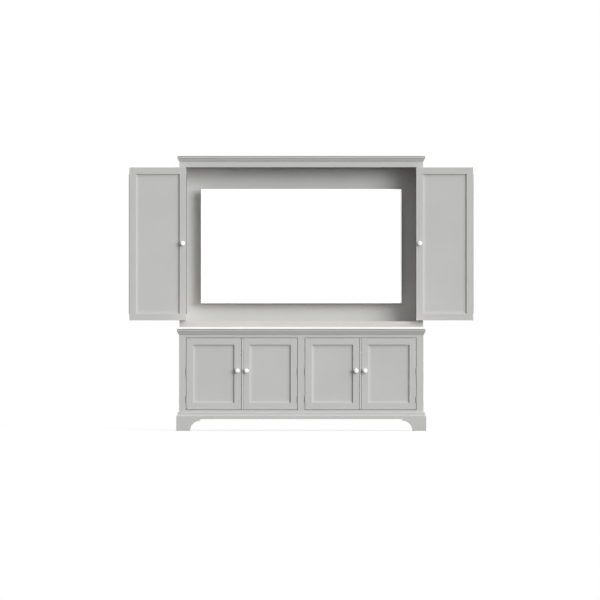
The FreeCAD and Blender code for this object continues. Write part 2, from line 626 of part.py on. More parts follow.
def television():
    front_y = BACK_Y - TV_OUT
    slim_y = front_y + TV_EDGE_T
    glass_y = front_y + SCREEN_SET
    tray_y = front_y + BEZEL_T
    arm_y = BACK_Y - PLATE_T - ARM_W
    half_w, half_h = TV_W / 2, TV_H / 2
    in_w, in_h = half_w - BEZEL_W, half_h - BEZEL_W

    def slab(w, h, y0, y1):
        return block(-w, w, y0, y1, TV_Z - h, TV_Z + h)

    def housing_outline(inset, y):
        w, h = HOUSING_W / 2 - inset, HOUSING_H / 2 - inset
        corners = [(-w, -h), (w, -h), (w, h), (-w, h), (-w, -h)]
        return Part.makePolygon([Vector(x, y, TV_Z + z) for x, z in corners])

    tray = slab(half_w, half_h, tray_y, slim_y).fuse(
        slab(in_w, in_h, glass_y + SCREEN_T, tray_y)).removeSplitter().Solids[0]
    housing = Part.makeLoft([housing_outline(0, slim_y),
                             housing_outline(HOUSING_TAPER, arm_y)], True, True)
    save("tv_bezel", mitred_strips(half_w, half_h, BEZEL_W, front_y, tray_y))
    save("tv_screen", [slab(in_w, in_h, glass_y, glass_y + SCREEN_T)])
    save("tv_rear_cover", [tray, housing])

    plate_w, plate_h = PLATE_W / 2, PLATE_H / 2
    plate_y = BACK_Y - PLATE_T
    rails = [block(-plate_w, plate_w, plate_y, BACK_Y, z, z + PLATE_RAIL_H)
             for z in (TV_Z - plate_h, TV_Z + plate_h - PLATE_RAIL_H)]
    strap = block(plate_w - PLATE_RAIL_H, plate_w, plate_y, BACK_Y,
                  TV_Z - plate_h + PLATE_RAIL_H, TV_Z + plate_h - PLATE_RAIL_H)
    arm_x0, arm_x1 = VESA / 2 - ARM_W / 2, VESA / 2 + ARM_W / 2
    low_z, high_z = TV_Z - ARM_H / 2, TV_Z + ARM_H / 2
    arm = block(arm_x0, arm_x1, arm_y, plate_y, low_z, high_z).cut(
        block(arm_x0 + ARM_WALL, arm_x1 - ARM_WALL, arm_y + ARM_WALL, plate_y, low_z, high_z))
    save("tv_bracket", rails + both_sides(strap) + both_sides(arm))


plinth()
base_carcass()
shelves()
hutch()
base_doors()
hutch_leaves()
television()
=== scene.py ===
import bmesh
import bpy
import json
import math
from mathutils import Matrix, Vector


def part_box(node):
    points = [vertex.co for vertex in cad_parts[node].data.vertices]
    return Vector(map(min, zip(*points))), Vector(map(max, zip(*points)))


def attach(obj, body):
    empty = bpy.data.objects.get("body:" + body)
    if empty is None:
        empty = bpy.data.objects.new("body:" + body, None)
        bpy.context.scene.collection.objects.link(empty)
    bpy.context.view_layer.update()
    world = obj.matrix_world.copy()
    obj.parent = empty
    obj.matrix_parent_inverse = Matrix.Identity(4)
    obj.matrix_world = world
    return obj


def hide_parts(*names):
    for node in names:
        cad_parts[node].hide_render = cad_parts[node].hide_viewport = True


# TV armoire, dressed for looks. Metres; +X right, +Y to the rear, +Z up, floor at z = 0.

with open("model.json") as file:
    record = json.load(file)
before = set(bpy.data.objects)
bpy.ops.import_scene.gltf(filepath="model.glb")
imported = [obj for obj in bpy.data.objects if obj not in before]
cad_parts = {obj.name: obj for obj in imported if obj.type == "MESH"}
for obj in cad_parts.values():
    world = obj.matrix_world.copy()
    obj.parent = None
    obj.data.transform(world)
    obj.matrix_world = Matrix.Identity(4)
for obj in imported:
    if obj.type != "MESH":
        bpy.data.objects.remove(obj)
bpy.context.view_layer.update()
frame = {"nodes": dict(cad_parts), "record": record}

# ---- sizes
MM = 0.001
EASE_JOINERY = 0.7 * MM      # rounded arrises of frames, doors and plinth
EASE_BOARD = 1.0 * MM        # rounded arrises of boards
EASE_BACK = 0.5 * MM
EASE_MOULDING = 0.4 * MM
EASE_BEAD = 0.3 * MM
EASE_TOP = 0.7 * MM
EASE_FITTING = 0.8 * MM      # catches and bracket
EASE_RIM = 1.0 * MM
EASE_SCREEN = 0.5 * MM
EASE_COVER = 2.0 * MM
EASE_SMALL = 0.3 * MM        # strike plates and magnets
EASE_LEAF = 0.2 * MM         # hinge leaves
EASE_TONGUE = 0.15 * MM      # their knuckles' tongues
SMOOTH_ANGLE = math.radians(32)
FLAT_ANGLE = math.radians(0.4)
KNOB_SIDES = 64
ARC_STEPS = 10               # facets of one curve of a moulding
FOOT_ARC_STEPS = 20

BEAD_W = 12.0 * MM           # bead of the inner base doors' meeting stiles, beside its quirk
BEAD_RISE = 3.0 * MM
QUIRK_W = 2.2 * MM           # groove beside the bead
QUIRK_DEPTH = 5.0 * MM
MEET_REACH = 1.2 * MM        # how far the bead reaches into the gap between two doors
GROOVE_SET = 10.0 * MM       # a panel's groove, behind the frame's face
GROOVE_W = 6.0 * MM
PANEL_SINK = 1.5 * MM        # field of a door panel behind the face it was sawn to
PANEL_SWEEP_W = 26.0 * MM    # hollow sweep round the field, rising to the frame
PANEL_SWEEP_RISE = 2.8 * MM
PANEL_SWEEP_STEPS = 8
PANEL_LAP = 7.0 * MM         # how far a panel runs into its frame's groove

PLINTH_T = 20.0 * MM
PLINTH_H = 104.0 * MM
FOOT_W = 99.5 * MM
FOOT_ARC_R = 74.0 * MM
APRON_Z = 85.0 * MM
PLINTH_MOULD_H = 33.5 * MM
MOULD_TOE_H = 2.0 * MM
MOULD_HOLLOW_SAG = 2.9 * MM
MOULD_NECK = (9.4 * MM, 20.5 * MM)    # (out, up) of the quirk under its bead
MOULD_QUIRK_W = 1.2 * MM
MOULD_QUIRK_H = 1.5 * MM
MOULD_BEAD_SAG = 3.4 * MM
MOULD_TOP_OUT = 3.0 * MM

TOP_OVERHANG = 16.5 * MM
WORKTOP_OVERHANG = 20.0 * MM
BOARD_T = 15.0 * MM
BAND_H = 7.0 * MM            # band sunk in the edge of the tops, coloured dark and warm as painted shade
BAND_SET = 3.0 * MM
CORNICE_H = 26.0 * MM
CORNICE_SQUARE = 0.5 * MM
CORNICE_FOOT_OUT = 1.5 * MM
CORNICE_LIP_SET = 0.4 * MM
CORNICE_SWELL = 0.4 * MM
CORNICE_HOLLOW = 0.8 * MM

KNOB_R = 16.0 * MM
KNOB_OUT = 28.0 * MM
KNOB_FOOT_R = 8.5 * MM
KNOB_FOOT_T = 1.2 * MM
KNOB_WAIST = (KNOB_FOOT_R - 0.6 * MM, 2.0 * MM)    # (radius, out) where the waist starts
KNOB_UNDER = (KNOB_R - 3.0 * MM, 13.4 * MM)        # where it ends, under the head
KNOB_WIDEST = (KNOB_R, 20.0 * MM)
KNOB_FACE = (13.2 * MM, 25.6 * MM)                 # foot of the low dome
KNOB_DOME_STEPS = 10
KNOB_WAIST_SAG = 5.0 * MM    # how far each curve stands off its chord
KNOB_UNDER_SAG = -1.2 * MM
KNOB_RIM_SAG = -1.3 * MM

BARREL_ROOM = 3.7 * MM       # half the depth kept for a hinge's barrel
BUTT_BARREL_R = 2.3 * MM
JAMB_BARREL_R = 2.1 * MM
FOLD_BARREL_R = 1.9 * MM
BORE_R = 1.15 * MM
BORE_WALL = 0.4 * MM
PIN_R = 1.12 * MM
PIN_HEAD = 1.2 * MM
KNUCKLE_GAP = 0.4 * MM
KNUCKLE_CLEAR = 0.6 * MM
KNUCKLE_LAP = 0.5 * MM       # a knuckle's tongue runs this far into its leaf
HINGE_LEAF_CLEAR = 0.4 * MM
HINGE_LEAF_W = 14.0 * MM
LEAF_T = 1.3 * MM
HINGE_MOST_W = 7.8 * MM      # a wider solid of the hardware isn't a hinge,
HINGE_LEAST_H = 30.0 * MM    # nor is a lower one
BUTT_KNUCKLES = 5
STRIP_KNUCKLES = 41
DOOR_PAIR_X = 0.4            # the outer base doors' hinges lie outside this, the inner inside
FOLD_X = 1.0                 # the fold hinges lie outside this, the jamb hinges inside

SCREW_R = 2.4 * MM
PLATE_SCREW_R = 3.0 * MM     # screws of strike plates and catches
RAIL_SCREW_R = 4.0 * MM
SCREW_PROUD = 0.18 * MM
SCREW_PITCH = 72.0 * MM
SCREW_STAGGER = 2.6 * MM
BACK_PIN_R = 1.6 * MM
RAIL_SCREWS_IN = (30.0 * MM, 60.0 * MM)    # from each end of a rail
RAIL_SCREW_UP = 22.0 * MM
RAIL_SCREW_SUNK = 0.01 * MM
BACK_PIN_PITCH = 105.0 * MM
BACK_PIN_SUNK = 0.75 * MM
BASE_PINS_IN = (9.0 * MM, 20.0 * MM)       # in from a back's edge, in from its corners
HUTCH_PINS_IN = (8.0 * MM, 110.0 * MM)
PORT_R = 30.0 * MM
PORT_PETALS = 8
PORT_RING = ((0.0, 0.0), (0.0, 1.2 * MM), (0.8 * MM, 2.0 * MM),    # (beyond the port, out)
             (4.5 * MM, 1.6 * MM), (6.0 * MM, 0.5 * MM), (6.0 * MM, 0.0), (0.0, 0.0))
MEMBRANE_SET = 3.0 * MM
MEMBRANE_SLIT = 0.8 * MM
MEMBRANE_T = 1.6 * MM
STRIKE_ROOM = 2.0 * MM       # strike plate and air in front of a catch's nose
STRIKE_MOST_T = 2.0 * MM     # thinner solids of the doors' hardware are strike plates
MAGNET_X = (2.0 * MM, 12.0 * MM)           # ends of a catch's two magnets, from its middle
MAGNET_Z = (2.0 * MM, 12.0 * MM)           # and from its foot
MAGNET_PROUD = 0.3 * MM
MAGNET_DEPTH = 3.0 * MM
CATCH_SCREW_X = 15.0 * MM
CATCH_SCREW_DOWN = 10.0 * MM
CATCH_SCREW_PROUD = 0.05 * MM

VENT_UP = 170.0 * MM         # the set's vents, from the middle of its housing
VENT_OUT = 250.0 * MM
SLATS = 30
SLAT = (3.2 * MM, 1.6 * MM, 46.0 * MM)
SLAT_PITCH = 7.0 * MM
SLAT_EASE = 0.7 * MM
SET_BOLT_X = 200.0 * MM      # the set's mounting bolts, from the middle both ways
SET_BOLT_OUT = 2.5 * MM
SET_BOLT_R = 5.0 * MM
WALL_BOLTS_X = (90.0 * MM, 260.0 * MM)
WALL_BOLT_IN = 140.0 * MM
WALL_BOLT_SET = 3.2 * MM
WALL_BOLT_R = 6.0 * MM

HALF_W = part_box("base_sides")[1].x
REAR_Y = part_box("base_back")[1].y
BASE_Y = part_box("base_face_frame")[0].y
HUTCH_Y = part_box("hutch_face_frame")[0].y
REARWARD = (0.0, 1.0, 0.0)

# ---- view and light
VIEW_WIDTH = 4.333           # width of the picture at the cabinet
LENS, SENSOR = 600.0, 36.0
EYE_X, EYE_Z = -0.009, 0.9426
CLIPS = (1.0, 400.0)
KEY_LIGHT = (Vector((-0.84, 1.0, -0.31)), math.radians(34), 2.38)    # way, spread, strength
BACK_LIGHT = (Vector((0.6, -1.0, -0.35)), math.radians(60), 1.3)
SKY_ABOVE, SKY_BELOW = 0.52, 0.02
SKY_EDGE = 0.06              # how far round the horizon the sky fades
SKY_CROWN = 1.4              # how much brighter the sky is overhead than at its edge
SKY_LEAN = 0.9               # how much more of the sky's light comes from the right
SKY_LEAN_POWER = 1.3
FLOOR_RADIUS = 5.0
FLOOR_FADE = (0.45, 0.98)    # shares of its radius where it fades away
FLOOR_PALE = 0.9
FLOOR_BOUNCE = 0.06          # what the floor gives back to the object
FLOOR_SHADE = 0.22           # how much of the object's shadow the floor shows

# ---- paint and finish colours, linear
WHITE = (1.0, 1.0, 1.0, 1.0)
GREY_PAINT = (0.485, 0.485, 0.474)
GREY_PAINT_DEEP = (0.462, 0.462, 0.450)
PALE_PAINT = (0.840, 0.829, 0.800)
PALE_PAINT_DEEP = (0.815, 0.804, 0.776)
WHITE_LACQUER = (0.97, 0.97, 0.965)
CREAM_LACQUER = (0.73, 0.675, 0.60)
# dark warm colour of the band at the tops' upper edge: painted shade, as under the worktop's
# lip
PAINTED_SHADE_BAND = (0.315, 0.292, 0.258)
BRIGHT_STEEL = (0.30, 0.30, 0.293)
# near-black steel of the jamb hinges, darkened to stand in for the shade in the gap beside
# them: painted shade
JAMB_SHADE_STEEL = (0.10, 0.10, 0.098)
NICKEL = (0.72, 0.70, 0.66)
WHITE_ENAMEL = (0.93, 0.93, 0.92)
WHITE_PLASTIC = (0.93, 0.93, 0.93)
WHITE_SCREEN = (0.96, 0.96, 0.96)
CATCH_PLASTIC = (0.80, 0.79, 0.76)
BLACK_RUBBER = (0.020, 0.020, 0.020)
POWDER_BLACK = (0.018, 0.018, 0.019)
PINE = (0.62, 0.43, 0.25)
PINE_DARK = (0.42, 0.25, 0.12)
HARDBOARD = (0.30, 0.19, 0.11)
HARDBOARD_DARK = (0.20, 0.12, 0.065)


# ---- nodes
class Wire:
    """What a node puts out: its first output, or the one picked by name or number.

    Arithmetic on wires adds the nodes that work it out."""

    def __init__(self, tree, node, output=0):
        self.tree, self.node = tree, node
        self.socket = node.outputs[output] if node.outputs else None

    def __getitem__(self, output):
        return Wire(self.tree, self.node, output)

    def __add__(self, other):
        return maths("ADD", self, other)

    def __sub__(self, other):
        return maths("SUBTRACT", self, other)

    def __rsub__(self, other):
        return maths("SUBTRACT", other, self)

    def __mul__(self, other):
        return maths("MULTIPLY", self, other)

    def __truediv__(self, other):
        return maths("DIVIDE", self, other)

    def __rtruediv__(self, other):
        return maths("DIVIDE", other, self)


def feed(tree, node, inputs):
    """Gives a node its inputs, each a value or a wire."""
    for key, value in inputs.items():
        if isinstance(value, Wire):
            tree.links.new(value.socket, node.inputs[key])
        else:
            node.inputs[key].default_value = value


def add(tree, kind, inputs=None, **settings):
    """The wire of a new node."""
    node = tree.nodes.new(kind)
    for key, value in settings.items():
        setattr(node, key, value)
    feed(tree, node, inputs or {})
    return Wire(tree, node)


def worked(kind, operation, values):
    tree = next(value.tree for value in values if isinstance(value, Wire))
    return add(tree, kind, dict(enumerate(values)), **operation)


def maths(operation, *values):
    return worked("ShaderNodeMath", {"operation": operation}, values)


def vector_maths(operation, *values):
    return worked("ShaderNodeVectorMath", {"operation": operation}, values)


def vector(x=0.0, y=0.0, z=0.0):
    return worked("ShaderNodeCombineXYZ", {}, (x, y, z))


def split(wire):
    """The wires of a vector's x, y and z."""
    parts = worked("ShaderNodeSeparateXYZ", {}, [wire])
    return [parts[i] for i in range(3)]


def blended(factor, first, second):
    """Colour between first (factor 0) and second (factor 1)."""
    first, second = [c if isinstance(c, Wire) else (*c, 1.0) for c in (first, second)]
    return add(factor.tree, "ShaderNodeMix", {"Factor": factor, 6: first, 7: second},
               data_type="RGBA")[2]


def ramp(value, low, high, low_out=0.0, high_out=1.0):
    """value from low..high to low_out..high_out, eased at both ends."""
    return worked("ShaderNodeMapRange", {"interpolation_type": "SMOOTHSTEP"},
                  (value, low, high, low_out, high_out))


def noise(place, scale, detail=2.0, roughness=0.5):
    return add(place.tree, "ShaderNodeTexNoise", {
        "Vector": place, "Scale": scale, "Detail": detail, "Roughness": roughness})


def use_group(tree, group, inputs):
    return add(tree, "ShaderNodeGroup", inputs, node_tree=group)


def new_group(name, inputs, outputs, kind="ShaderNodeTree"):
    """An empty node group and the wire of its inputs.

    A socket is given by its default number, or by the name of its type."""
    tree = bpy.data.node_groups.new(name, kind)
    types = {float: "Float", int: "Int"}
    for direction, sockets in (("INPUT", inputs), ("OUTPUT", outputs)):
        for title, given in sockets.items():
            socket = tree.interface.new_socket(
                name=title, in_out=direction,
                socket_type="NodeSocket" + types.get(type(given), str(given)))
            if type(given) in types:
                socket.default_value = given
    return tree, add(tree, "NodeGroupInput")


def put_out(tree, outputs):
    """The end of every group."""
    add(tree, "NodeGroupOutput", outputs)
    return tree


# ---- shared effects
def make_brush_marks():
    """Strokes left by a brush: long along the grain, fine across it."""
    tree, given = new_group("brush marks", {"Grain": "Vector", "Across": 420.0, "Along": 5.0},
                            {"Tone": "Float", "Height": "Float"})
    stretch = vector(given["Along"], given["Across"], given["Across"])
    strokes = noise(vector_maths("MULTIPLY", given["Grain"], stretch), 1.0, 3.0)
    clouds = noise(given["Grain"], 2.6, 3.0, 0.6)
    return put_out(tree, {"Tone": ramp(strokes * 0.45 + clouds * 0.55, 0.3, 0.7),
                          "Height": strokes})


def make_roller_stipple():
    """Fine orange peel from a roller or a spray gun."""
    tree, given = new_group("roller stipple", {"Grain": "Vector", "Grit": 900.0},
                            {"Tone": "Float", "Height": "Float"})
    clouds = noise(given["Grain"], 1.9, 3.0, 0.6)
    return put_out(tree, {"Tone": ramp(clouds, 0.3, 0.7),
                          "Height": noise(given["Grain"], given["Grit"], 1.0, 0.4)})


def make_arris_wear():
    """Where a board's arrises are rubbed: 1 on a worn arris, 0 on its faces.

    Of a point's distances to the board's three pairs of faces, the middle one is small
    only near an arris."""
    tree, given = new_group(
        "arris wear", {"Place": "Vector", "Low": "Vector", "High": "Vector",
                       "Width": 0.0016, "Patches": 35.0}, {"Mask": "Float"})
    above = vector_maths("SUBTRACT", given["Place"], given["Low"])
    below = vector_maths("SUBTRACT", given["High"], given["Place"])
    x, y, z = split(vector_maths("ABSOLUTE", vector_maths("MINIMUM", above, below)))
    middle = maths("MAXIMUM", maths("MINIMUM", x, y),
                   maths("MINIMUM", maths("MAXIMUM", x, y), z))
    patches = ramp(noise(given["Place"], given["Patches"], 3.0, 0.6), 0.42, 0.62)
    return put_out(tree, {"Mask": ramp(middle, given["Width"], 0.0) * patches})


def make_board_figure():
    """Growth rings of a flat-sawn board, run out along its grain."""
    tree, given = new_group("board figure", {"Grain": "Vector", "Rings": 62.0},
                            {"Late Wood": "Float", "Pores": "Float"})
    drawn = vector_maths("MULTIPLY", given["Grain"], (0.55, 1.0, 1.0))
    _, across, deep = split(drawn)
    radius = noise(drawn, 4.0) * 0.09 + across + deep * deep * 9.0
    late = ramp(maths("FRACT", radius * given["Rings"]), 0.15, 0.95)
    fibres = noise(vector_maths("MULTIPLY", given["Grain"], (18.0, 900.0, 900.0)), 1.0)
    return put_out(tree, {"Late Wood": late * (fibres * 0.6 + 0.7), "Pores": fibres})


BRUSH_MARKS = make_brush_marks()
ROLLER_STIPPLE = make_roller_stipple()
ARRIS_WEAR = make_arris_wear()
BOARD_FIGURE = make_board_figure()


# ---- finishes
def new_finish(name):
    """(material, its node tree)"""
    material = bpy.data.materials.new(name)
    material.use_nodes = True
    return material, material.node_tree


def place_on(tree):
    return add(tree, "ShaderNodeTexCoord")["Object"]


def marked(tree, name):
    """A vector that the piece's mesh carries."""
    return add(tree, "ShaderNodeAttribute", attribute_name=name)["Vector"]


def shade(colour, share):
    return tuple(min(1.0, share * c) for c in colour)


def coat(material, colour, rough, height, depth, constants):
    """Joins a finish to the material's shader. Its marks are depth deep."""
    tree = material.node_tree
    bump = add(tree, "ShaderNodeBump", {"Height": height, "Distance": depth})
    feed(tree, tree.nodes["Principled BSDF"],
         {"Base Color": colour, "Roughness": rough, "Normal": bump, **constants})
    return material


def painted(name, light, deep, effect, sheen, rough, marks, patchy=0.08):
    """Paint on wood. effect is the shared group that marks it; marks is their depth.

    patchy is how much its gloss changes from place to place."""
    material, tree = new_finish(name)
    film = use_group(tree, effect, {"Grain": marked(tree, "grain")})
    wear = use_group(tree, ARRIS_WEAR, {
        "Place": place_on(tree), "Low": marked(tree, "board_low"),
        "High": marked(tree, "board_high"), "Width": 1.8 * MM})
    gloss = wear * -0.08 + (film["Tone"] * -patchy + (rough + patchy / 2))
    return coat(material, blended(wear, blended(film["Tone"], deep, light),
                                  shade(light, 1.07)),
                gloss, film["Height"], marks, {"Specular IOR Level": sheen})


def bare_wood(name, early, late, rings):
    material, tree = new_finish(name)
    figure = use_group(tree, BOARD_FIGURE, {"Grain": marked(tree, "grain"), "Rings": rings})
    return coat(material, blended(figure["Late Wood"], early, late),
                figure["Pores"] * 0.2 + 0.55, figure["Pores"], 0.12 * MM, {})


def pressed_board(name, light, dark):
    """The rough back of a hardboard sheet."""
    material, tree = new_finish(name)
    grain = marked(tree, "grain")
    mat_marks, blotches = noise(grain, 700.0), noise(grain, 7.0, 4.0, 0.7)
    tone = ramp(mat_marks * 0.5 + blotches * 0.5, 0.3, 0.7)
    return coat(material, blended(tone, dark, light), ramp(blotches, 0.2, 0.8, 0.72, 0.86),
                mat_marks, 0.25 * MM, {})


def metal(name, colour, metallic, rough, grit):
    material, tree = new_finish(name)
    drawn_out = vector_maths("MULTIPLY", place_on(tree), (1.0, 1.0, 0.12))
    streaks = noise(drawn_out, grit, 3.0)
    return coat(material, blended(ramp(streaks, 0.3, 0.7), shade(colour, 0.86), colour),
                ramp(streaks, 0.2, 0.8, rough - 0.06, rough + 0.08), streaks, 0.03 * MM,
                {"Metallic": metallic})


def enamel(name, colour, rough):
    """Glossy baked enamel with a faint orange peel under a clear coat."""
    material, tree = new_finish(name)
    peel = use_group(tree, ROLLER_STIPPLE, {"Grain": place_on(tree), "Grit": 520.0})
    return coat(material, blended(peel["Tone"], shade(colour, 0.97), colour),
                ramp(peel["Tone"], 0.0, 1.0, rough, rough + 0.06), peel["Height"], 0.05 * MM,
                {"Coat Weight": 0.5, "Coat Roughness": 0.08})


def moulded_plastic(name, colour, rough, grit, depth, glow=0.0):
    material, tree = new_finish(name)
    spark = noise(place_on(tree), grit)
    return coat(material, blended(ramp(spark, 0.35, 0.65), shade(colour, 0.975), colour),
                ramp(spark, 0.2, 0.8, rough - 0.04, rough + 0.06), spark, depth,
                {"Emission Color": WHITE, "Emission Strength": glow})


FINISHES = {
    "brushed grey": painted("grey brushed paint", GREY_PAINT, GREY_PAINT_DEEP, BRUSH_MARKS,
                            0.4, 0.44, 0.05 * MM),
    "rolled grey": painted("grey rolled paint", GREY_PAINT, GREY_PAINT_DEEP, ROLLER_STIPPLE,
                           0.35, 0.5, 0.04 * MM),
    "pale": painted("pale inside paint", PALE_PAINT, PALE_PAINT_DEEP, ROLLER_STIPPLE,
                    0.35, 0.5, 0.04 * MM),
    "warm band": painted("warm undercoat band", PAINTED_SHADE_BAND, shade(PAINTED_SHADE_BAND, 0.96),
                         BRUSH_MARKS, 0.3, 0.5, 0.04 * MM),
    "lacquer": painted("white worktop lacquer", WHITE_LACQUER, shade(WHITE_LACQUER, 0.985),
                       ROLLER_STIPPLE, 0.4, 0.30, 0.03 * MM, 0.015),
    "cream top": painted("cream worktop lacquer", CREAM_LACQUER, shade(CREAM_LACQUER, 0.985),
                         ROLLER_STIPPLE, 0.4, 0.30, 0.03 * MM, 0.015),
    "pine": bare_wood("bare pine", PINE, PINE_DARK, 210.0),
    "hardboard": pressed_board("hardboard back", HARDBOARD, HARDBOARD_DARK),
    "enamel": enamel("white knob enamel", WHITE_ENAMEL, 0.16),
    "bright hinge": metal("bright hinge steel", BRIGHT_STEEL, 0.0, 0.38, 300.0),
    "dark hinge": metal("burnished hinge steel", JAMB_SHADE_STEEL, 0.0, 0.38, 300.0),
    "nickel": metal("nickel plate", NICKEL, 1.0, 0.28, 500.0),
    "catch": moulded_plastic("catch plastic", CATCH_PLASTIC, 0.5, 900.0, 0.04 * MM),
    "tv shell": moulded_plastic("white set plastic", WHITE_PLASTIC, 0.42, 1400.0, 0.03 * MM),
    # the bezel's front glows as painted light, filling the shade that falls on the set's edge
    "tv rim": moulded_plastic("lit white rim", WHITE_PLASTIC, 0.42, 1400.0, 0.03 * MM, 0.42),
    # the blank screen glows as a lit screen, set bright enough that no shade shows on it:
    # partly painted light
    "tv face": moulded_plastic("lit blank screen", WHITE_SCREEN, 0.3, 300.0, 0.01 * MM, 0.50),
    "rubber": moulded_plastic("black rubber", BLACK_RUBBER, 0.72, 800.0, 0.05 * MM),
    "bracket": moulded_plastic("black powder coat", POWDER_BLACK, 0.55, 1100.0, 0.06 * MM),
}


# ---- solids of the frame
BODY_OF = {node: body for body, nodes in frame["record"]["behaviour"]["bodies"].items()
           for node in nodes}
SLOT_OF = {part["node"]: part["material_slot"] for part in frame["record"]["subparts"]}


def span_of(points):
    """The low and high corners of points."""
    return (Vector([min(p[i] for p in points) for i in range(3)]),
            Vector([max(p[i] for p in points) for i in range(3)]))


def solids_in(node):
    """(low corner, high corner, triangles) of each closed solid of a node.

    The triangles come solid by solid, and a solid is whole once none of its edges is open."""
    mesh = frame["nodes"][node].data
    solids, triangles, open_edges = [], [], set()
    for face in mesh.polygons:
        corners = [tuple(round(c, 6) for c in mesh.vertices[i].co) for i in face.vertices]
        triangles.append(corners)
        for start, end in zip(corners, corners[1:] + corners[:1]):
            open_edges ^= {(min(start, end), max(start, end))}
        if not open_edges:
            solids.append((*span_of(sum(triangles, [])), triangles))
            triangles = []
    return solids


# ---- meshes and pieces
def written(form, mesh):
    form.to_mesh(mesh)
    form.free()
    return mesh


def cleaned(form, mesh):
    """A bmesh written to a mesh, its doubles merged and its faces turned outwards."""
    bmesh.ops.remove_doubles(form, verts=form.verts[:], dist=1e-6)
    bmesh.ops.recalc_face_normals(form, faces=form.faces[:])
    return written(form, mesh)


def flat_face(name, points):
    form = bmesh.new()
    form.faces.new([form.verts.new(point) for point in points])
    return written(form, bpy.data.meshes.new(name))


def skin(name, rings, capped=True):
    """The mesh over rings of points, each joined to the next. A ring of one is a pole."""
    form = bmesh.new()
    rings = [[form.verts.new(point) for point in ring] for ring in rings]
    for lower, upper in zip(rings, rings[1:]):
        count = max(len(lower), len(upper))
        for i in range(count):
            j = (i + 1) % count
            corners = [lower[i % len(lower)], lower[j % len(lower)],
                       upper[j % len(upper)], upper[i % len(upper)]]
            form.faces.new(list(dict.fromkeys(corners)))
    if capped:
        form.faces.new(rings[0])
        form.faces.new(rings[-1])
    return cleaned(form, bpy.data.meshes.new(name))


def joined(meshes, name):
    """Several meshes as one, their materials kept."""
    form = bmesh.new()
    materials = []
    for mesh in meshes:
        slots = []
        for material in mesh.materials:
            if material not in materials:
                materials.append(material)
            slots.append(materials.index(material))
        before = len(form.faces)
        form.from_mesh(mesh)
        form.faces.ensure_lookup_table()
        for face in form.faces[before:]:
            face.material_index = slots[face.material_index] if slots else 0
    whole = written(form, bpy.data.meshes.new(name))
    for material in materials:
        whole.materials.append(material)
    return whole


def placed(name, data):
    thing = bpy.data.objects.new(name, data)
    bpy.context.scene.collection.objects.link(thing)
    return thing


def fitted(name, mesh, body, slot, *replaced, ease=0.0, finish=None):
    """A piece on its body. ease rounds its arrises; finish coats a bare mesh."""
    if finish:
        mesh.materials.append(FINISHES[finish])
    piece = placed(name, mesh)
    mesh.shade_smooth()
    if ease:
        bevel = piece.modifiers.new("eased arrises", "BEVEL")
        bevel.limit_method = "ANGLE"
        bevel.angle_limit = SMOOTH_ANGLE
        bevel.width = ease
        bevel.segments = 2
        bevel.harden_normals = True
    else:
        mesh.set_sharp_from_angle(angle=SMOOTH_ANGLE)
    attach(piece, body)
    if replaced:
        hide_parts(*replaced)


def stand_in(node, ending, mesh, ease=0.0):
    """A piece in the place of a node, on its body."""
    fitted(node + ending, mesh, BODY_OF[node], SLOT_OF[node], node, ease=ease)


# ---- grain and wear
def grain_of(point, low, high, shift):
    """Grain coordinates of a point of a board: its own length first, then across it."""
    order = sorted(range(3), key=lambda i: low[i] - high[i])
    local = [point[i] for i in order]
    return (local[0] + shift, local[1] + 0.37 * shift, local[2] + 0.71 * shift)


def new_marks(mesh, *marks):
    """New attributes, given as (name, type, domain), all made before any is filled."""
    for mark in marks:
        mesh.attributes.new(*mark)
    return [mesh.attributes[name] for name, _, _ in marks]


def board_marks(mesh, grain_domain):
    return new_marks(mesh, ("grain", "FLOAT_VECTOR", grain_domain),
                     ("board_low", "FLOAT_VECTOR", "POINT"),
                     ("board_high", "FLOAT_VECTOR", "POINT"))


def mark_boards(mesh, spans, of_vertex=None):
    """Writes each vertex's grain and its board's low and high corners to the mesh."""
    grain, low_mark, high_mark = board_marks(mesh, "POINT")
    for i, vertex in enumerate(mesh.vertices):
        board = of_vertex[i] if of_vertex else 0
        low, high = spans[board]
        grain.data[i].vector = grain_of(vertex.co, low, high, 1.7 * board)
        low_mark.data[i].vector = low
        high_mark.data[i].vector = high
    return mesh


def mark_runs(mesh):
    """Grain along each face's longest way, with no arris wear."""
    grain, low_mark, high_mark = board_marks(mesh, "CORNER")
    for mark, value in ((low_mark, -10.0), (high_mark, 10.0)):
        for place in mark.data:
            place.vector = (value, value, value)
    for face in mesh.polygons:
        points = [mesh.vertices[i].co for i in face.vertices]
        low, high = span_of(points)
        for corner, point in zip(face.loop_indices, points):
            grain.data[corner].vector = grain_of(point, low, high, 0.0)
    return mesh


def eased(node, finish, ease, other_finish=None, is_other=None, left_out=None):
    """A node's boards with rounded arrises, and with each board's grain along its length.

    is_other(face) picks the faces that get other_finish. left_out(low, high) tells which
    boards are made elsewhere."""
    form = bmesh.new()
    tag = form.verts.layers.int.new("board")
    spans = []
    for low, high, triangles in solids_in(node):
        if left_out and left_out(low, high):
            continue
        board = bmesh.new()
        made = {corner: board.verts.new(corner)
                for corner in dict.fromkeys(sum(triangles, []))}
        for corners in triangles:
            if len(set(corners)) == 3:
                board.faces.new([made[corner] for corner in corners])
        bmesh.ops.dissolve_limit(board, angle_limit=FLAT_ANGLE, use_dissolve_boundaries=False,
                                 verts=board.verts[:], edges=board.edges[:])
        copies = {}
        for vertex in board.verts:
            copies[vertex] = form.verts.new(vertex.co)
            copies[vertex][tag] = len(spans)
        for face in board.faces:
            form.faces.new([copies[vertex] for vertex in face.verts])
        board.free()
        spans.append((low, high))
    of_vertex = [vertex[tag] for vertex in form.verts]
    mesh = mark_boards(written(form, bpy.data.meshes.new(node + "_finished")), spans,
                       of_vertex)
    mesh.materials.append(FINISHES[finish])
    if other_finish:
        mesh.materials.append(FINISHES[other_finish])
        for face in mesh.polygons:
            face.material_index = int(is_other(face))
    stand_in(node, "_finished", mesh, ease)


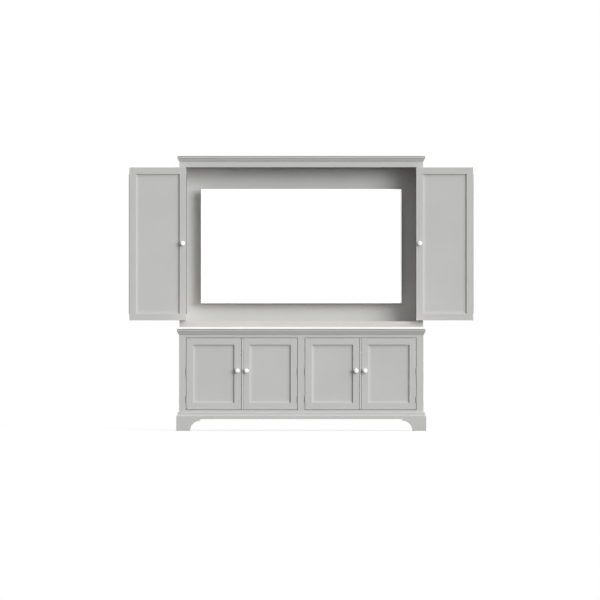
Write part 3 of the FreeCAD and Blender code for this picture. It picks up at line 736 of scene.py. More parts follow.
# ---- forms grown by node trees
def form_tree(draw, inputs):
    """The tree of a function that draws a form, named after it.

    It ends in the form's real mesh, in the material that it is given."""
    tree, given = new_group(
        draw.__name__.replace("_", " "),
        {"Geometry": "Geometry", **inputs, "Material": "Material"},
        {"Geometry": "Geometry"}, "GeometryNodeTree")
    real = add(tree, "GeometryNodeRealizeInstances", {"Geometry": draw(tree, given)})
    return put_out(tree, {"Geometry": add(tree, "GeometryNodeSetMaterial", {
        "Geometry": real, "Material": given["Material"]})})


def both(first, second):
    """Two geometries as one."""
    whole = add(first.tree, "GeometryNodeJoinGeometry", {0: first})
    feed(first.tree, whole.node, {0: second})
    return whole


def extruded(mesh, inputs):
    """A mesh's faces drawn out as one. "Top" picks the new ends."""
    return add(mesh.tree, "GeometryNodeExtrudeMesh",
               {"Mesh": mesh, "Individual": False, **inputs}, mode="FACES")


def moved(mesh, inputs):
    return add(mesh.tree, "GeometryNodeSetPosition", {"Geometry": mesh, **inputs})


def place_of(tree):
    return add(tree, "GeometryNodeInputPosition")


def named_field(tree, name, kind):
    return add(tree, "GeometryNodeInputNamedAttribute", {"Name": name}, data_type=kind)


def rounded_outline(width, height, ease, count):
    outline = add(ease.tree, "GeometryNodeCurvePrimitiveQuadrilateral",
                  {"Width": width, "Height": height})
    return add(ease.tree, "GeometryNodeFilletCurve",
               {"Curve": outline, "Count": count, "Radius": ease}, mode="POLY")


def in_row(count, start, step, form):
    """Copies of a form on the points of a line."""
    places = add(form.tree, "GeometryNodeMeshLine",
                 {"Count": count, "Start Location": start, "Offset": step})
    return add(form.tree, "GeometryNodeInstanceOnPoints",
               {"Points": places, "Instance": form})


def mitred_moulding(tree, given):
    """A section run round the front and both sides of a body, mitred at its front corners.

    The starting face is the section, drawn as (out, 0, up)."""
    out, _, up = split(named_field(tree, "section", "FLOAT_VECTOR"))
    across, ahead = given["Half Width"] + out, given["Front"] - out
    height = given["Foot"] + up
    kept = add(tree, "GeometryNodeStoreNamedAttribute",
               {"Geometry": given["Geometry"], "Name": "section", "Value": place_of(tree)},
               data_type="FLOAT_VECTOR")
    end = True
    first = run = moved(kept, {"Position": vector(across * -1.0, given["Rear"], height)})
    for hand, y in ((-1.0, ahead), (1.0, ahead), (1.0, given["Rear"])):
        drawn = extruded(run, {"Selection": end, "Offset Scale": 0.0})
        end = drawn["Top"]
        run = moved(drawn, {"Selection": end, "Position": vector(across * hand, y, height)})
    closed = add(tree, "GeometryNodeMergeByDistance",
                 {"Geometry": both(run, first), "Distance": 1e-5})
    return add(tree, "GeometryNodeRemoveAttribute", {"Geometry": closed, "Name": "section"})


def knuckle_row(tree, given):
    """Every second knuckle of a pinned hinge, joined to the leaf that the tree is given."""
    pitch = given["Length"] / given["Knuckles"]
    count = maths("FLOOR", (given["Knuckles"] - given["First"] + 1.0) / 2.0)
    start = vector_maths("ADD", given["Axis Foot"], vector(z=(given["First"] + 0.5) * pitch))
    ring = add(tree, "GeometryNodeCurvePrimitiveCircle", {
        "Resolution": 28, "Radius": (given["Barrel Radius"] + given["Bore Radius"]) / 2.0})
    knuckle = add(tree, "GeometryNodeCurveToMesh", {
        "Curve": add(tree, "GeometryNodeSetCurveNormal", {"Curve": ring}, mode="Z_UP"),
        "Profile Curve": rounded_outline(given["Barrel Radius"] - given["Bore Radius"],
                                         pitch - given["Gap"], given["Ease"], 2)})
    return both(in_row(count, start, vector(z=pitch * 2.0), knuckle), given["Geometry"])


def driven_heads(tree, given):
    """A head on every point, its top along the point's "facing", turned at random."""
    aimed = add(tree, "FunctionNodeAlignRotationToVector",
                {"Vector": named_field(tree, "facing", "FLOAT_VECTOR")}, axis="Z")
    turn = add(tree, "FunctionNodeRandomValue",
               {"Seed": given["Turn Seed"], 3: 2 * math.pi}, data_type="FLOAT")[1]
    twist = add(tree, "FunctionNodeAxisAngleToRotation",
                {"Axis": (0.0, 0.0, 1.0), "Angle": turn})
    set_in = add(tree, "FunctionNodeRotateRotation",
                 {"Rotation": aimed, "Rotate By": twist}, rotation_space="LOCAL")
    head = add(tree, "GeometryNodeObjectInfo", {"Object": given["Head"]})["Geometry"]
    return add(tree, "GeometryNodeInstanceOnPoints",
               {"Points": given["Geometry"], "Instance": head, "Rotation": set_in,
                "Scale": named_field(tree, "size", "FLOAT")})


def slat_row(tree, given):
    """Slats side by side: a rounded bar on every point of a line."""
    width, depth, height = split(given["Bar"])
    half = height / 2.0
    length = add(tree, "GeometryNodeCurvePrimitiveLine",
                 {"Start": vector(z=half * -1.0), "End": vector(z=half)})
    bar = add(tree, "GeometryNodeCurveToMesh",
              {"Curve": length, "Fill Caps": True,
               "Profile Curve": rounded_outline(width, depth, given["Ease"], 3)})
    return in_row(given["Count"], given["Start"], given["Step"], bar)


def drawn_section(tree, given):
    """A section drawn out straight. The starting face is the section, at the near end."""
    section = given["Geometry"]
    return both(extruded(section, {"Offset": given["Along"], "Offset Scale": 1.0}), section)


def petal_ring(tree, given):
    """Flat petals round a centre, parted by slits: the membrane of a cable grommet."""
    share = 2 * math.pi / given["Petals"]
    opening = given["Slit"] / 2.0 / maths("SINE", share / 2.0)
    outline = add(tree, "GeometryNodeCurveArc",
                  {"Resolution": 9, "Radius": given["Radius"] - opening,
                   "Start Angle": share * -0.5, "Sweep Angle": share,
                   "Connect Center": True}, mode="RADIUS")
    flat = add(tree, "GeometryNodeFillCurve", {"Curve": outline}, mode="NGONS")
    petal = both(extruded(flat, {"Offset Scale": given["Thickness"]}), flat)
    apart = add(tree, "GeometryNodeTransform",
                {"Geometry": petal, "Translation": vector(x=opening)})
    ring = in_row(given["Petals"], (0.0, 0.0, 0.0), (0.0, 0.0, 0.0), apart)
    turn = add(tree, "GeometryNodeInputIndex") * share
    feed(tree, ring.node, {"Rotation": vector(z=turn)})
    return add(tree, "GeometryNodeTransform",
               {"Geometry": ring, "Rotation": (math.pi / 2, 0.0, 0.0),
                "Translation": given["Centre"]})


def swept_panel(tree, given):
    """A door panel: a flat field with a hollow sweep all round it, rising to its frame.

    The grid's lines stand close together in the sweep and leave one wide cell for the
    field. Its front looks along -Y."""
    lines = given["Steps"] * 2.0 + 4.0
    pitch = 1.0 / (lines - 1.0)
    x, y, z = split(place_of(tree))

    def spread(along, size):
        """(position, distance in from the frame) of a grid line."""
        number = maths("ROUND", (0.5 - maths("ABSOLUTE", along)) / pitch)
        inside = maths("MAXIMUM", (number - 1.0) / given["Steps"] * given["Sweep"], 0.0)
        lapped = maths("LESS_THAN", number, 0.5) * given["Lap"]
        return (size * 0.5 - inside + lapped) * maths("SIGN", along), inside

    across, in_across = spread(x, given["Width"])
    up, in_up = spread(y, given["Height"])
    depth = maths("MINIMUM", in_across, in_up) / given["Sweep"]
    left_over = 1.0 - maths("MINIMUM", depth, 1.0)
    grid = add(tree, "GeometryNodeMeshGrid",
               {"Size X": 1.0, "Size Y": 1.0, "Vertices X": lines, "Vertices Y": lines})
    rise = left_over * left_over * (given["Rise"] * -1.0)
    shaped = moved(grid, {"Position": vector(across, rise, up)})
    drawn = extruded(shaped, {"Offset Scale": 0.0})
    backed = moved(drawn, {"Selection": drawn["Top"],
                           "Position": vector(x, given["Thickness"], z)})
    return moved(both(backed, shaped), {"Offset": given["Centre"]})


MITRED_MOULDING = form_tree(mitred_moulding, {
    "Half Width": 0.88, "Front": -0.2, "Rear": 0.2, "Foot": 0.0})
SWEPT_PANEL = form_tree(swept_panel, {
    "Centre": "Vector", "Width": 0.4, "Height": 0.5, "Thickness": 0.004, "Lap": 0.008,
    "Sweep": 0.026, "Rise": 0.004, "Steps": 8})
DRAWN_SECTION = form_tree(drawn_section, {"Along": "Vector"})
PETAL_RING = form_tree(petal_ring, {
    "Centre": "Vector", "Petals": 8, "Radius": 0.03, "Slit": 0.0008, "Thickness": 0.0016})
KNUCKLE_ROW = form_tree(knuckle_row, {
    "Axis Foot": "Vector", "Length": 0.05, "Knuckles": 5, "First": 0, "Gap": 0.0004,
    "Barrel Radius": 0.0037, "Bore Radius": 0.0018, "Ease": 0.0004})
DRIVEN_HEADS = form_tree(driven_heads, {"Head": "Object", "Turn Seed": 7})
SLAT_ROW = form_tree(slat_row, {
    "Start": "Vector", "Step": "Vector", "Count": 10, "Bar": "Vector", "Ease": 0.0006})


def grown(tree, start, finish, values):
    """The clean mesh that a form tree makes of a starting mesh, or of None, in a finish."""
    values = {**values, "Material": FINISHES[finish]}
    holder = placed("setting out", start or bpy.data.meshes.new("setting out"))
    growth = holder.modifiers.new("form", "NODES")
    growth.node_group = tree
    for socket in tree.interface.items_tree:
        if socket.in_out == "INPUT" and socket.name in values:
            growth[socket.identifier] = values[socket.name]
    holder.update_tag()
    whole = bpy.context.evaluated_depsgraph_get()
    mesh = bpy.data.meshes.new_from_object(holder.evaluated_get(whole))
    bpy.data.objects.remove(holder)
    form = bmesh.new()
    form.from_mesh(mesh)
    return cleaned(form, mesh)


# ---- mouldings, boards, plinth
def bowed(start, end, sag, count):
    """Points after start on an arc that stands off its chord by sag, to the left."""
    (u0, v0), (u1, v1) = start, end
    chord = math.hypot(u1 - u0, v1 - v0)
    half = 2 * math.atan(2 * sag / chord)
    radius = chord / 2 / math.sin(half)
    along = ((u1 - u0) / chord, (v1 - v0) / chord)
    points = []
    for step in range(1, count + 1):
        turn = half * (2 * step / count - 1)
        far = chord / 2 + radius * math.sin(turn)
        off = radius * (math.cos(turn) - math.cos(half))
        points.append((u0 + along[0] * far - along[1] * off,
                       v0 + along[1] * far + along[0] * off))
    return points


def cornice_section():
    foot = (CORNICE_FOOT_OUT, CORNICE_SQUARE)
    lip = (TOP_OVERHANG - CORNICE_LIP_SET, CORNICE_H - CORNICE_SQUARE)
    middle = ((foot[0] + lip[0]) / 2, (foot[1] + lip[1]) / 2)
    return ([(0.0, 0.0), (foot[0], 0.0), foot]
            + bowed(foot, middle, -CORNICE_SWELL, ARC_STEPS)
            + bowed(middle, lip, CORNICE_HOLLOW, ARC_STEPS)
            + [(lip[0], CORNICE_H), (0.0, CORNICE_H)])


def plinth_section():
    toe = (PLINTH_T, MOULD_TOE_H)
    hollow_top = (MOULD_NECK[0] + MOULD_QUIRK_W, MOULD_NECK[1] - MOULD_QUIRK_H)
    bead_top = (MOULD_TOP_OUT, PLINTH_MOULD_H)
    return ([(0.0, 0.0), (PLINTH_T, 0.0), toe]
            + bowed(toe, hollow_top, MOULD_HOLLOW_SAG, ARC_STEPS) + [MOULD_NECK]
            + bowed(MOULD_NECK, bead_top, -MOULD_BEAD_SAG, ARC_STEPS)
            + [(0.0, PLINTH_MOULD_H)])


def moulding(node, section, front):
    start = flat_face(node + "_section", [(u, 0, v) for u, v in section])
    mesh = grown(MITRED_MOULDING, start, "brushed grey", {
        "Half Width": HALF_W, "Front": front, "Rear": REAR_Y, "Foot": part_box(node)[0].z})
    stand_in(node, "_run", mark_runs(mesh), EASE_MOULDING)


def edged_board(node, profile, finish, top_finish=None, shade_band_finish=None):
    """A board over the body, with a profile of (overhang, up) round its front and sides.

    shade_band_finish coats the upper part of its edges in painted shade."""
    low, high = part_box(node)
    front = low.y + high.x - HALF_W
    rings = []
    for out, up in profile:
        x, y, z = HALF_W + out, front - out, low.z + up
        rings.append([(-x, REAR_Y, z), (-x, y, z), (x, y, z), (x, REAR_Y, z)])
    mesh = skin(node + "_edged", rings)
    for coating in (finish, top_finish or finish, shade_band_finish or finish):
        mesh.materials.append(FINISHES[coating])
    for face in mesh.polygons:
        on_band = face.center.z > low.z + BOARD_T - BAND_H and abs(face.normal.z) < 0.5
        face.material_index = 2 if on_band else int(face.normal.z > 0.9)
    stand_in(node, "_edged", mark_runs(mesh), EASE_TOP)


def plinth_board(length, place, rear_square):
    """One board with two bracket feet. place takes (along, inwards, up)."""
    arc_end = FOOT_W + FOOT_ARC_R
    arc = [(arc_end - FOOT_ARC_R * math.cos(t), FOOT_ARC_R * math.sin(t))
           for t in [math.pi / 2 * i / FOOT_ARC_STEPS for i in range(FOOT_ARC_STEPS + 1)]]
    left = [(0.0, 0.0)] + arc + [(arc_end, APRON_Z)]
    outline = left + [(length - u, v) for u, v in reversed(left)]
    outline += [(length, PLINTH_H), (0.0, PLINTH_H)]
    mitred = {0.0: PLINTH_T, length: length if rear_square else length - PLINTH_T}
    return skin("plinth_board", [
        [place(u, 0.0, v) for u, v in outline],
        [place(mitred.get(u, u), PLINTH_T, v) for u, v in outline]])


def plinth():
    front = BASE_Y - PLINTH_T
    across, deep = 2 * (HALF_W + PLINTH_T), REAR_Y - front
    boards = [plinth_board(across, lambda u, w, v: (u - across / 2, front + w, v), False)]
    for hand in (-1, 1):
        boards.append(plinth_board(
            deep, lambda u, w, v: (hand * (HALF_W + PLINTH_T - w), front + u, v), True))
    fitted("plinth_boards_cut", mark_runs(joined(boards, "plinth_boards_cut")), "cabinet",
           SLOT_OF["plinth_boards"], "plinth_boards", ease=EASE_JOINERY,
           finish="brushed grey")


def beaded_stile(node):
    """The meeting stile of an inner base door: a round bead and a quirk on its front arris.

    Returns the test that leaves the plain stile out of its frame."""
    low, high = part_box(node)
    hand = -1 if low.x < 0 else 1
    edge = low.x if hand < 0 else high.x

    def is_stile(start, end):
        return (end.z - start.z > 0.9 * (high.z - low.z)
                and min(abs(start.x - edge), abs(end.x - edge)) < 1 * MM)

    start, end = [span for *span, _ in solids_in(node) if is_stile(*span)][0]
    width, depth = end.x - start.x, end.y - start.y
    inner, groove_end = width - PANEL_LAP, GROOVE_SET + GROOVE_W
    quirk_end = BEAD_W + QUIRK_W
    bead_start = (-MEET_REACH, BEAD_RISE)
    section = [bead_start, *bowed(bead_start, (BEAD_W, BEAD_RISE), -BEAD_RISE, 2 * ARC_STEPS),
               (BEAD_W, QUIRK_DEPTH), (quirk_end, QUIRK_DEPTH), (quirk_end, 0.0),
               (width, 0.0), (width, GROOVE_SET), (inner, GROOVE_SET), (inner, groove_end),
               (width, groove_end), (width, depth), (-MEET_REACH, depth)]
    outline = flat_face(node + "_section", [(edge - hand * u, start.y + v, start.z)
                                            for u, v in section])
    mesh = grown(DRAWN_SECTION, outline, "brushed grey",
                 {"Along": (0.0, 0.0, end.z - start.z)})
    fitted(BODY_OF[node] + "_meeting_stile", mark_boards(mesh, [(start, end)]), BODY_OF[node],
           SLOT_OF[node], node, ease=EASE_BEAD)
    return is_stile


def door_panel(node):
    low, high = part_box(node)
    centre = (low + high) / 2
    face = low.y + PANEL_SINK
    mesh = grown(SWEPT_PANEL, None, "rolled grey", {
        "Centre": (centre.x, face, centre.z), "Width": high.x - low.x - 2 * PANEL_LAP,
        "Height": high.z - low.z - 2 * PANEL_LAP, "Thickness": high.y - face,
        "Lap": PANEL_LAP, "Sweep": PANEL_SWEEP_W, "Rise": PANEL_SWEEP_RISE,
        "Steps": PANEL_SWEEP_STEPS})
    stand_in(node, "_swept", mark_boards(mesh, [(low, high)]))


# ---- knobs, screws, pins
def turned(profile, place, sides):
    """A profile of (radius, along) turned about an axis. place takes (u, v, along)."""
    angles = [2 * math.pi * i / sides for i in range(sides)]
    return skin("turned", [[place(radius * math.cos(t), radius * math.sin(t), along)
                            for t in (angles if radius else angles[:1])]
                           for radius, along in profile], capped=False)


def knob_profile():
    """(radius, out from the door): a spread foot, a waist, a full rim and a low dome."""
    points = bowed(KNOB_WAIST, KNOB_UNDER, KNOB_WAIST_SAG, 14)
    for end, sag in ((KNOB_WIDEST, KNOB_UNDER_SAG), (KNOB_FACE, KNOB_RIM_SAG)):
        points += bowed(points[-1], end, sag, 8)
    radius, rim = KNOB_FACE
    for i in range(1, KNOB_DOME_STEPS):
        turn = math.pi / 2 * i / KNOB_DOME_STEPS
        points.append((radius * math.cos(turn), rim + (KNOB_OUT - rim) * math.sin(turn)))
    return [(0.0, 0.0), (KNOB_FOOT_R, 0.0), (KNOB_FOOT_R, KNOB_FOOT_T), *points,
            (0.0, KNOB_OUT)]


def screw_head():
    """A countersunk head with a cross recess, radius 1, its top at z = 0."""
    arm, half, deep = 0.56, 0.13, 0.42
    recess = [(arm, -half), (arm, half), (half, half), (half, arm), (-half, arm),
              (-half, half), (-arm, half), (-arm, -half), (-half, -half), (-half, -arm),
              (half, -arm), (half, -half)]
    around = [math.radians(a) for a in (-12, 12, 45, 78, 102, 135, 168, 192, 225, 258, 282,
                                        315)]
    skirt, rim = [[(math.cos(a), math.sin(a), z) for a in around] for z in (-0.30, -0.05)]
    mouth, bottom = [[(share * x, share * y, z) for x, y in recess]
                     for share, z in ((1.0, 0.0), (0.6, -deep))]
    return skin("screw_head", [skirt, rim, mouth, bottom])


def pin_head():
    """A small domed head, radius 1, its foot at z = 0."""
    profile = [(0.0, -0.3), (1.0, -0.3), (1.0, 0.08), (0.82, 0.26), (0.45, 0.38), (0.0, 0.42)]
    return turned(profile, lambda u, v, w: (u, v, w), 12)


def bolt_head():
    """A pan head with a hexagon socket, radius 1, its foot at z = 0."""
    socket = 0.46
    around = [math.radians(30 * i) for i in range(12)]
    rings = [[(radius * math.cos(a), radius * math.sin(a), z) for a in around]
             for radius, z in ((1.0, -0.2), (1.0, 0.28), (0.86, 0.46), (0.62, 0.54))]
    for z in (0.54, 0.15):
        radii = [socket, socket * math.cos(math.pi / 6)] * 6
        rings.append([(r * math.cos(a), r * math.sin(a), z) for r, a in zip(radii, around)])
    return skin("bolt_head", rings)


def driven(name, places, head, body, slot):
    """Copies of a head's mesh at (point, facing, radius), as one piece."""
    start = bpy.data.meshes.new(name + "_places")
    start.from_pydata([tuple(point) for point, _, _ in places], [], [])
    facing, size = new_marks(start, ("facing", "FLOAT_VECTOR", "POINT"),
                             ("size", "FLOAT", "POINT"))
    for i, (_, direction, radius) in enumerate(places):
        facing.data[i].vector = direction
        size.data[i].value = radius
    master = bpy.data.objects.new("master head", head)
    mesh = grown(DRIVEN_HEADS, start, "nickel", {"Head": master})
    bpy.data.objects.remove(master)
    fitted(name, mesh, body, slot)


# ---- hinges
def plate(low, high, ease):
    """A flat bar between two corners, its arrises eased."""
    form = bmesh.new()
    bmesh.ops.create_cube(form, size=1.0)
    for vertex in form.verts:
        vertex.co = [min(ends) if c < 0 else max(ends)
                     for c, ends in zip(vertex.co, zip(low, high))]
    bmesh.ops.bevel(form, geom=form.edges[:], offset=ease, segments=2, affect="EDGES",
                    profile=0.5)
    return cleaned(form, bpy.data.meshes.new("plate"))


def hinge_leaf(low, high, kind, side, toward, pinned):
    """(mesh of one leaf with its knuckles, places of its screws) for a solid's box."""
    knuckles, radius, finish = kind
    first = 0 if pinned else 1
    x = (low.x + high.x) / 2
    y = low.y + BARREL_ROOM if toward > 0 else high.y - BARREL_ROOM
    foot, length = low.z, high.z - low.z
    pitch = length / knuckles
    near = x + side * HINGE_LEAF_CLEAR / 2
    far = near + side * LEAF_T
    start = y + toward * (BARREL_ROOM + KNUCKLE_CLEAR)
    parts = [plate((near, start, foot), (far, start + toward * HINGE_LEAF_W, high.z),
                   EASE_LEAF)]
    for number in range(first, knuckles, 2):
        parts.append(plate((near, y + toward * (BORE_R + BORE_WALL),
                            foot + number * pitch + KNUCKLE_GAP / 2),
                           (far, start + toward * KNUCKLE_LAP,
                            foot + (number + 1) * pitch - KNUCKLE_GAP / 2), EASE_TONGUE))
    if pinned:
        half = [(0.0, -PIN_HEAD), (0.7 * PIN_R, -PIN_HEAD), (PIN_R, -0.6 * PIN_HEAD),
                (PIN_R, 0.0)]
        pin = half + [(r, length - w) for r, w in reversed(half)]
        parts.append(turned(pin, lambda u, v, w: (x + u, y + v, foot + w), 20))
    mesh = grown(KNUCKLE_ROW, joined(parts, "leaf"), finish, {
        "Axis Foot": (x, y, foot), "Length": length, "Knuckles": knuckles, "First": first,
        "Gap": KNUCKLE_GAP, "Barrel Radius": radius, "Bore Radius": BORE_R})
    count = max(2, round(length / SCREW_PITCH))
    screws = []
    for i in range(count):
        shift = SCREW_STAGGER * (1 if i % 2 else -1)
        point = (near - side * SCREW_PROUD, start + toward * (HINGE_LEAF_W / 2 + shift),
                 foot + length * (i + 0.5) / count)
        screws.append((point, (-side, 0.0, 0.0), SCREW_R))
    return mesh, screws


def hinges(screws):
    """All hinges, node by node. Adds the places of their screws to their bodies' screws."""
    for node in frame["nodes"]:
        if "hinges" not in node and "hardware" not in node:
            continue
        leaves = []
        for low, high, _ in solids_in(node):
            if high.x - low.x > HINGE_MOST_W or high.z - low.z < HINGE_LEAST_H:
                continue
            x = (low.x + high.x) / 2
            at_fold = abs(x) > FOLD_X
            fixed = node in ("base_hinges", "hutch_hinges") or ("jamb" in node and at_fold)
            if "base" in node:
                outward = (abs(x) > DOOR_PAIR_X) == fixed
                kind, toward = (BUTT_KNUCKLES, BUTT_BARREL_R, "bright hinge"), 1
            else:
                outward = not at_fold
                # the jamb hinges' dark steel is painted shade for the gap line they stand in
                kind = ((STRIP_KNUCKLES, FOLD_BARREL_R, "bright hinge") if at_fold
                        else (STRIP_KNUCKLES, JAMB_BARREL_R, "dark hinge"))
                toward = 1 if fixed else -1
            side = 1 if (x > 0) == outward else -1
            mesh, places = hinge_leaf(low, high, kind, side, toward, fixed)
            leaves.append(mesh)
            screws.setdefault(BODY_OF[node], []).extend(places)
        if leaves:
            fitted(node + "_leaves", joined(leaves, node + "_leaves"), BODY_OF[node],
                   "hinge_steel", node)


# ---- door furniture
def door_furniture(screws):
    """Knobs, strike plates and catches, with the places of their screws."""
    for node in frame["nodes"]:
        if not node.endswith("_hardware"):
            continue
        body = BODY_OF[node]
        for low, high, _ in solids_in(node):
            x, z = (low.x + high.x) / 2, (low.z + high.z) / 2
            face = high.y
            if abs(high.x - low.x - 2 * KNOB_R) < 1 * MM:
                mesh = turned(knob_profile(), lambda u, v, w: (x + u, face - w, z + v),
                              KNOB_SIDES)
                fitted(body + "_knob", mesh, body, "pull_enamel", node, finish="enamel")
            elif high.y - low.y < STRIKE_MOST_T:
                fitted(body + "_strike_plate", plate(low, high, EASE_SMALL), body,
                       "hinge_steel", node, finish="nickel")
                screws.setdefault(body, []).append(
                    ((x, face + SCREW_PROUD, z), REARWARD, PLATE_SCREW_R))
    eased("door_catches", "catch", EASE_FITTING)
    magnets = []
    for low, high, _ in solids_in("door_catches"):
        x = (low.x + high.x) / 2
        nose = low.y + STRIKE_ROOM
        for hand in (-1, 1):
            near, far, out = [x + hand * reach for reach in (*MAGNET_X, CATCH_SCREW_X)]
            magnets.append(plate((near, nose - MAGNET_PROUD, low.z + MAGNET_Z[0]),
                                 (far, nose + MAGNET_DEPTH, low.z + MAGNET_Z[1]),
                                 EASE_SMALL))
            screws.setdefault("cabinet", []).append(
                ((out, high.y + CATCH_SCREW_PROUD, high.z - CATCH_SCREW_DOWN), REARWARD,
                 PLATE_SCREW_R))
    fitted("catch_magnets", joined(magnets, "catch_magnets"), "cabinet", "catch_plastic",
           finish="nickel")


# ---- backs
def rear_screws():
    """Screws of the three rails behind the hutch back."""
    places = []
    for low, high, _ in solids_in("hutch_back_rails"):
        near, far = RAIL_SCREWS_IN
        for x in (low.x + near, low.x + far, high.x - far, high.x - near):
            for z in (low.z + RAIL_SCREW_UP, high.z - RAIL_SCREW_UP):
                places.append(((x, high.y - RAIL_SCREW_SUNK, z), REARWARD, RAIL_SCREW_R))
    return places


def spaced(start, end):
    """Points from start to end, evenly about a back pin's pitch apart."""
    start, end = Vector(start), Vector(end)
    count = max(1, round((end - start).length / BACK_PIN_PITCH))
    return [start.lerp(end, i / count) for i in range(count + 1)]


def back_pins():
    """Pins round the edges of the base back, at its divider and along the hutch's sides."""
    low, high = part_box("base_back")
    y = high.y - BACK_PIN_SUNK
    edge, end = BASE_PINS_IN
    places = []
    for x in (low.x + edge, 0.0, high.x - edge):
        places += spaced((x, y, low.z + end), (x, y, high.z - end))
    for z in (low.z + edge, high.z - edge):
        places += spaced((low.x + end, y, z), (high.x - end, y, z))
    low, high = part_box("hutch_back")
    edge, end = HUTCH_PINS_IN
    for x in (low.x + edge, high.x - edge):
        places += spaced((x, high.y, low.z + end), (x, high.y, high.z - end))
    driven("back_pins", [(point, REARWARD, BACK_PIN_R) for point in places], pin_head(),
           "cabinet", "carcass_board")


def port_rings():
    """Trim rings round the cable ports, each with a slit rubber membrane in its bore."""
    rings = []
    membranes = []
    for mount in frame["record"]["mounts"]:
        if not mount["name"].endswith("cable_port"):
            continue
        at = Vector(mount["pos_m"])
        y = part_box("hutch_back" if "hutch" in mount["name"] else "base_back")[0].y
        rings.append(turned([(PORT_R + out, rise) for out, rise in PORT_RING],
                            lambda u, v, w: (at.x + u, y - w, at.z + v), 48))
        membranes.append(grown(PETAL_RING, None, "rubber", {
            "Centre": (at.x, y + MEMBRANE_SET, at.z), "Petals": PORT_PETALS,
            "Radius": PORT_R, "Slit": MEMBRANE_SLIT, "Thickness": MEMBRANE_T}))
    fitted("port_rings", joined(rings, "port_rings"), "cabinet", "catch_plastic",
           finish="catch")
    fitted("port_membranes", joined(membranes, "port_membranes"), "cabinet", "catch_plastic")


# ---- television
def television():
    # the fronts of the bezel and the screen glow. The bezel's glow is painted light that
    # fills the shade on the set, and the screen's is partly so. Their sides and backs stay
    # plain shell.
    for node, lit, ease in (("tv_bezel", "tv rim", EASE_RIM),
                            ("tv_screen", "tv face", EASE_SCREEN)):
        eased(node, lit, ease, "tv shell", lambda face: face.normal.y > -0.5)
    eased("tv_rear_cover", "tv shell", EASE_COVER)
    eased("tv_bracket", "bracket", EASE_FITTING)
    low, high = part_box("tv_rear_cover")
    middle = (low + high) / 2
    slats = []
    for z in (middle.z + VENT_UP, middle.z - VENT_UP):
        for hand in (-1, 1):
            slats.append(grown(SLAT_ROW, None, "tv shell", {
                "Start": (middle.x + hand * VENT_OUT, high.y, z),
                "Step": (hand * SLAT_PITCH, 0.0, 0.0), "Count": SLATS, "Bar": SLAT,
                "Ease": SLAT_EASE}))
    fitted("tv_vent_slats", joined(slats, "tv_vent_slats"), "cabinet", "tv_shell")
    bolts = [((x, high.y + SET_BOLT_OUT, middle.z + z), REARWARD, SET_BOLT_R)
             for x in (-SET_BOLT_X, SET_BOLT_X) for z in (-SET_BOLT_X, SET_BOLT_X)]
    low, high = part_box("tv_bracket")
    for x in (-WALL_BOLTS_X[1], -WALL_BOLTS_X[0], *WALL_BOLTS_X):
        for z in (low.z + WALL_BOLT_IN, high.z - WALL_BOLT_IN):
            bolts.append(((x, high.y - WALL_BOLT_SET, z), (0.0, -1.0, 0.0), WALL_BOLT_R))
    driven("tv_bracket_bolts", bolts, bolt_head(), "cabinet", "bracket_steel")


# ---- carcass and doors
INSIDE_FACES = {             # faces of the hutch's boards that look into it
    "hutch_floor": lambda face: face.normal.z > 0.9,
    "hutch_ceiling": lambda face: face.normal.z < -0.9,
    "hutch_sides": lambda face: face.normal.x * math.copysign(1.0, face.center.x) < -0.9}
JOINERY = ("base_face_frame", "hutch_face_frame")
BOARDS = ("base_sides", "base_floor", "base_divider", "base_shelves", "hutch_sides",
          "hutch_floor", "hutch_ceiling")
BARE = ("corner_blocks", "shelf_cleats", "hutch_back_rails")
BEADED = ("base_door_2_frame", "base_door_3_frame")


def carcass():
    for node in JOINERY:
        eased(node, "brushed grey", EASE_JOINERY)
    for node in BOARDS:
        inside = INSIDE_FACES.get(node)
        eased(node, "rolled grey", EASE_BOARD, "pale" if inside else None, inside)
    for node in BARE:
        eased(node, "pine", EASE_BOARD)
    for node in ("base_back", "hutch_back"):
        eased(node, "rolled grey", EASE_BACK, "hardboard", lambda face: face.normal.y > 0.9)
    for node in frame["nodes"]:
        if node.endswith("_panel"):
            door_panel(node)
        elif node.endswith("_frame") and node not in JOINERY:
            eased(node, "brushed grey", EASE_JOINERY,
                  left_out=beaded_stile(node) if node in BEADED else None)


def mouldings_and_tops():
    moulding("base_cornice", cornice_section(), BASE_Y)
    moulding("hutch_cornice", cornice_section(), HUTCH_Y)
    moulding("plinth_moulding", plinth_section(), BASE_Y)
    # the upper band of these tops is coloured as painted shade
    band_foot, band_out = BOARD_T - BAND_H, TOP_OVERHANG - BAND_SET
    for node in ("hutch_cap", "base_top_board"):
        edged_board(node, [(TOP_OVERHANG, 0.0), (TOP_OVERHANG, band_foot),
                           (band_out, band_foot), (band_out, BOARD_T)],
                    "brushed grey", shade_band_finish="warm band")
    edged_board("worktop", [(WORKTOP_OVERHANG, 0.0), (WORKTOP_OVERHANG, BOARD_T)],
                "lacquer", "cream top")


# ---- view and light
def camera():
    lens = bpy.data.cameras.new("front view")
    lens.lens, lens.sensor_width = LENS, SENSOR
    lens.clip_start, lens.clip_end = CLIPS
    eye = placed("front view", lens)
    eye.location = (EYE_X, -VIEW_WIDTH * LENS / SENSOR, EYE_Z)
    eye.rotation_euler = (math.pi / 2, 0, 0)
    bpy.context.scene.camera = eye


def far_lamp(name, direction, spread, strength):
    lamp = bpy.data.lights.new(name, "SUN")
    lamp.angle = spread
    lamp.energy = strength
    holder = placed(name, lamp)
    holder.rotation_mode = "QUATERNION"
    holder.rotation_quaternion = direction.to_track_quat("-Z", "Y")


def seen_directly(tree):
    """1 for what the camera, a gloss or a glass sees, 0 for light that falls on a surface."""
    path = add(tree, "ShaderNodeLightPath")
    return maths("MAXIMUM", path["Is Camera Ray"],
                 maths("MAXIMUM", path["Is Glossy Ray"], path["Is Transmission Ray"]))


def mixed(share, first, second):
    """A mix of two shaders: share of the second."""
    return add(first.tree, "ShaderNodeMixShader", {0: share, 1: first, 2: second})


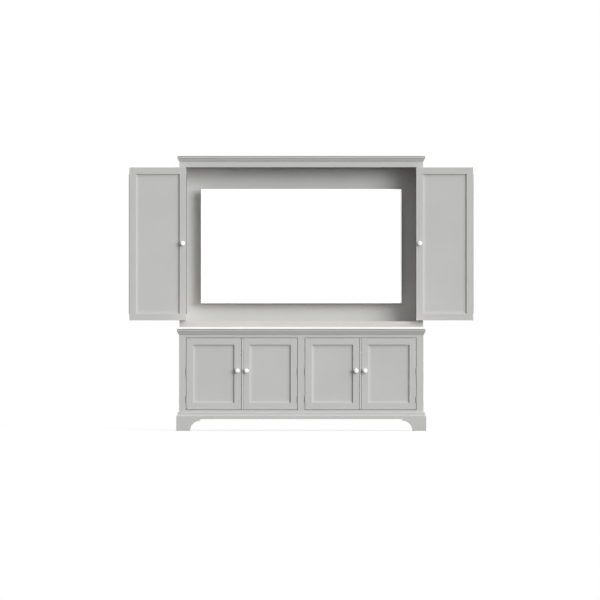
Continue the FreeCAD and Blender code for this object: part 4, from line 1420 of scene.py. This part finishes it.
def sky():
    world = bpy.data.worlds.new("studio")
    world.use_nodes = True
    tree = world.node_tree
    tree.nodes.clear()
    rightward, _, upward = split(add(tree, "ShaderNodeTexCoord")["Generated"])
    leaning = maths("POWER", rightward * SKY_LEAN + 1.0, SKY_LEAN_POWER)
    crown = maths("MAXIMUM", upward, 0.0) * SKY_CROWN + 1.0
    level = ramp(upward, -SKY_EDGE, SKY_EDGE, SKY_BELOW, SKY_ABOVE) * leaning * crown
    fill, white = [add(tree, "ShaderNodeBackground", {"Color": WHITE, "Strength": strength})
                   for strength in (level, 1.0)]
    add(tree, "ShaderNodeOutputWorld", {"Surface": mixed(seen_directly(tree), fill, white)})
    bpy.context.scene.world = world


def floor():
    form = bmesh.new()
    bmesh.ops.create_circle(form, cap_ends=True, segments=96, radius=FLOOR_RADIUS)
    mesh = written(form, bpy.data.meshes.new("studio_floor"))
    material, tree = new_finish("pale floor")
    tree.nodes.clear()
    bounce, pale = [add(tree, "ShaderNodeBsdfDiffuse", {"Color": (level, level, level, 1.0)})
                    for level in (FLOOR_BOUNCE, FLOOR_PALE)]
    white = add(tree, "ShaderNodeEmission", {"Color": WHITE, "Strength": 1.0})
    lit = mixed(seen_directly(tree), bounce, mixed(FLOOR_SHADE, white, pale))
    away = vector_maths("LENGTH", place_on(tree))["Value"]
    start, end = [share * FLOOR_RADIUS for share in FLOOR_FADE]
    faded = mixed(ramp(away, start, end, 1.0, 0.0), add(tree, "ShaderNodeBsdfTransparent"),
                  lit)
    add(tree, "ShaderNodeOutputMaterial", {"Surface": faded})
    mesh.materials.append(material)
    plane = placed("studio_floor", mesh)


camera()
far_lamp("key light", *KEY_LIGHT)
far_lamp("back light", *BACK_LIGHT)
sky()
floor()
bpy.context.scene.view_settings.view_transform = "Standard"

plinth()
mouldings_and_tops()
carcass()
television()
back_pins()
port_rings()
screws = {}
hinges(screws)
door_furniture(screws)
screws["cabinet"] += rear_screws()
cross_head = screw_head()
for body, places in screws.items():
    driven(body + "_screws", places, cross_head, body, "hinge_steel")
